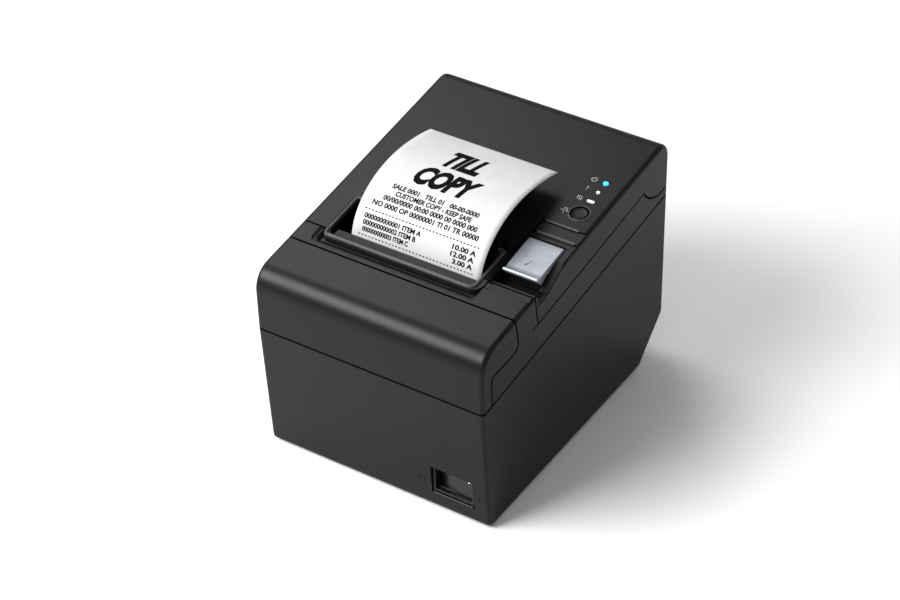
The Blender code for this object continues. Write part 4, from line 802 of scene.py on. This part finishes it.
def make_paper_roll():
    """The wound roll: a section with eased corners turned about the roll's axis, y + r cos a and
    z + r sin a, and its flat sides show the windings."""
    low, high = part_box("paper_roll")
    y, z = (low[1] + high[1]) / 2 / MM, (low[2] + high[2]) / 2 / MM
    half = [(0.25, ROLL_INNER), (0.0, ROLL_INNER + 0.3), (0.0, ROLL_OUTER - 0.35), (0.35, ROLL_OUTER)]
    section = [(PAPER_LEFT + inset, radius) for inset, radius in half]
    section += [(PAPER_RIGHT - inset, radius) for inset, radius in reversed(half)]
    section = np.array(section + section[:1])
    a = np.linspace(0.0, 2 * math.pi, 97)
    x = np.repeat(section[:, 0][:, None], len(a), 1)
    r = section[:, 1][:, None]
    points = np.stack([x, y + r * np.cos(a), z + r * np.sin(a)], -1)
    mesh = grid_mesh("roll_of_paper", points)
    work = bmesh.new()
    work.from_mesh(mesh)
    bmesh.ops.remove_doubles(work, verts=work.verts, dist=1e-6)
    bmesh.ops.recalc_face_normals(work, faces=work.faces)
    work.to_mesh(mesh)
    work.free()
    piece = add_object("roll_of_paper", mesh, "roll", [PAPER, ROLL_SIDE])
    normals = np.zeros(len(mesh.polygons) * 3)
    mesh.polygons.foreach_get("normal", normals)
    side = np.abs(normals.reshape(-1, 3)[:, 0]) > 0.9
    mesh.polygons.foreach_set("material_index", side.astype("i4"))
    mesh.set_sharp_from_angle(angle=math.radians(40))
    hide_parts("paper_roll")


# ---------------------------------------------------------------- stage

def make_stage():
    """Pale floor, two soft lights and a white surround. The floor is level to y = 2.2 m, and behind
    that it rises by 1 - cos of a quarter turn plus a fourth power, so that it has no corner."""
    s = np.concatenate([np.linspace(0, 1.0, 12), 1.0 + np.linspace(0.1, 1.0, 14)])
    depth = np.where(s <= 1.0, -2.2 + 4.4 * s, 2.2 + 0.8 * np.sin((s - 1.0) * math.pi / 2))
    height = np.where(s <= 1.0, 0.0, 0.8 * (1 - np.cos((s - 1.0) * math.pi / 2)) + (s - 1.0) ** 4)
    x = np.linspace(-3.0, 3.0, 5)
    points = np.stack(np.broadcast_arrays(x[None, :], depth[:, None], height[:, None]), -1) / MM
    mesh = grid_mesh("floor", points)
    floor = bpy.data.objects.new("floor", mesh)
    bpy.context.scene.collection.objects.link(floor)
    look = Look("pale_floor", (0.86, 0.86, 0.86), 0.6)
    look.vary_roughness(look.noise(60.0, 3.0), 0.55, 0.68)
    mesh.materials.append(look.material)
    add_area("overhead", (-0.78, 0.46, 1.22), (0.0, -0.03, 0.10), (0.8, 0.6), 7.5)
    add_area("front_left", (-0.66, -0.87, 1.00), (0.0, 0.0, 0.09), (0.9, 0.7), 32.0)
    world = bpy.data.worlds.new("studio")
    world.use_nodes = True
    world.node_tree.nodes["Background"].inputs["Color"].default_value = (1.0, 1.0, 1.0, 1.0)
    world.node_tree.nodes["Background"].inputs["Strength"].default_value = 0.5
    bpy.context.scene.world = world
    bpy.context.scene.view_settings.view_transform = "Standard"
    bpy.context.scene.view_settings.gamma = 0.92


def add_area(name, place, target, size, power):
    """A rectangular soft light aimed at a target."""
    lamp = bpy.data.lights.new(name, "AREA")
    lamp.shape = "RECTANGLE"
    lamp.size, lamp.size_y = size
    lamp.energy = power
    made = bpy.data.objects.new(name, lamp)
    bpy.context.scene.collection.objects.link(made)
    aim = (Vector(target) - Vector(place)).to_track_quat("-Z", "Y")
    made.matrix_world = Matrix.Translation(place) @ aim.to_matrix().to_4x4()


CAMERA_TURN = 34.65          # degrees round from the front, towards the right
CAMERA_RISE = 38.01
CAMERA_ROLL = -2.25
CAMERA_DISTANCE = 1415.5
CAMERA_AIM_Z = 73.0
CAMERA_SLIP = (-18.903, -15.189)     # how far the camera stands aside and up from its aim
CAMERA_LENS = 105.69
CAMERA_SHIFT = (0.02046, 0.01678)


def make_camera():
    """A long lens looking down on the front right corner."""
    turn, rise, roll = (math.radians(v) for v in (CAMERA_TURN, CAMERA_RISE, CAMERA_ROLL))
    forward = Vector((-math.sin(turn) * math.cos(rise), math.cos(turn) * math.cos(rise), -math.sin(rise)))
    level = Vector((math.cos(turn), math.sin(turn), 0.0))
    above = level.cross(forward)
    right = level * math.cos(roll) + above * math.sin(roll)
    up = above * math.cos(roll) - level * math.sin(roll)
    aside, above_aim = CAMERA_SLIP
    eye = Vector((0, 0, CAMERA_AIM_Z)) - forward * CAMERA_DISTANCE + right * aside + up * above_aim
    camera = bpy.data.cameras.new("camera")
    camera.lens = CAMERA_LENS
    camera.sensor_width = 36.0
    camera.shift_x, camera.shift_y = CAMERA_SHIFT
    camera.clip_end = 20.0
    holder = bpy.data.objects.new("camera", camera)
    bpy.context.scene.collection.objects.link(holder)
    turned = Matrix((right, up, -forward)).transposed().to_4x4()
    holder.matrix_world = Matrix.Translation(eye * MM) @ turned
    bpy.context.scene.camera = holder


make_stage()
make_camera()
dress_case()
dress_inside()
make_exit_details()
make_lever()
make_switch_details()
make_paper_roll()
make_receipt()
make_print()
make_panel_marks()
make_front_marks()
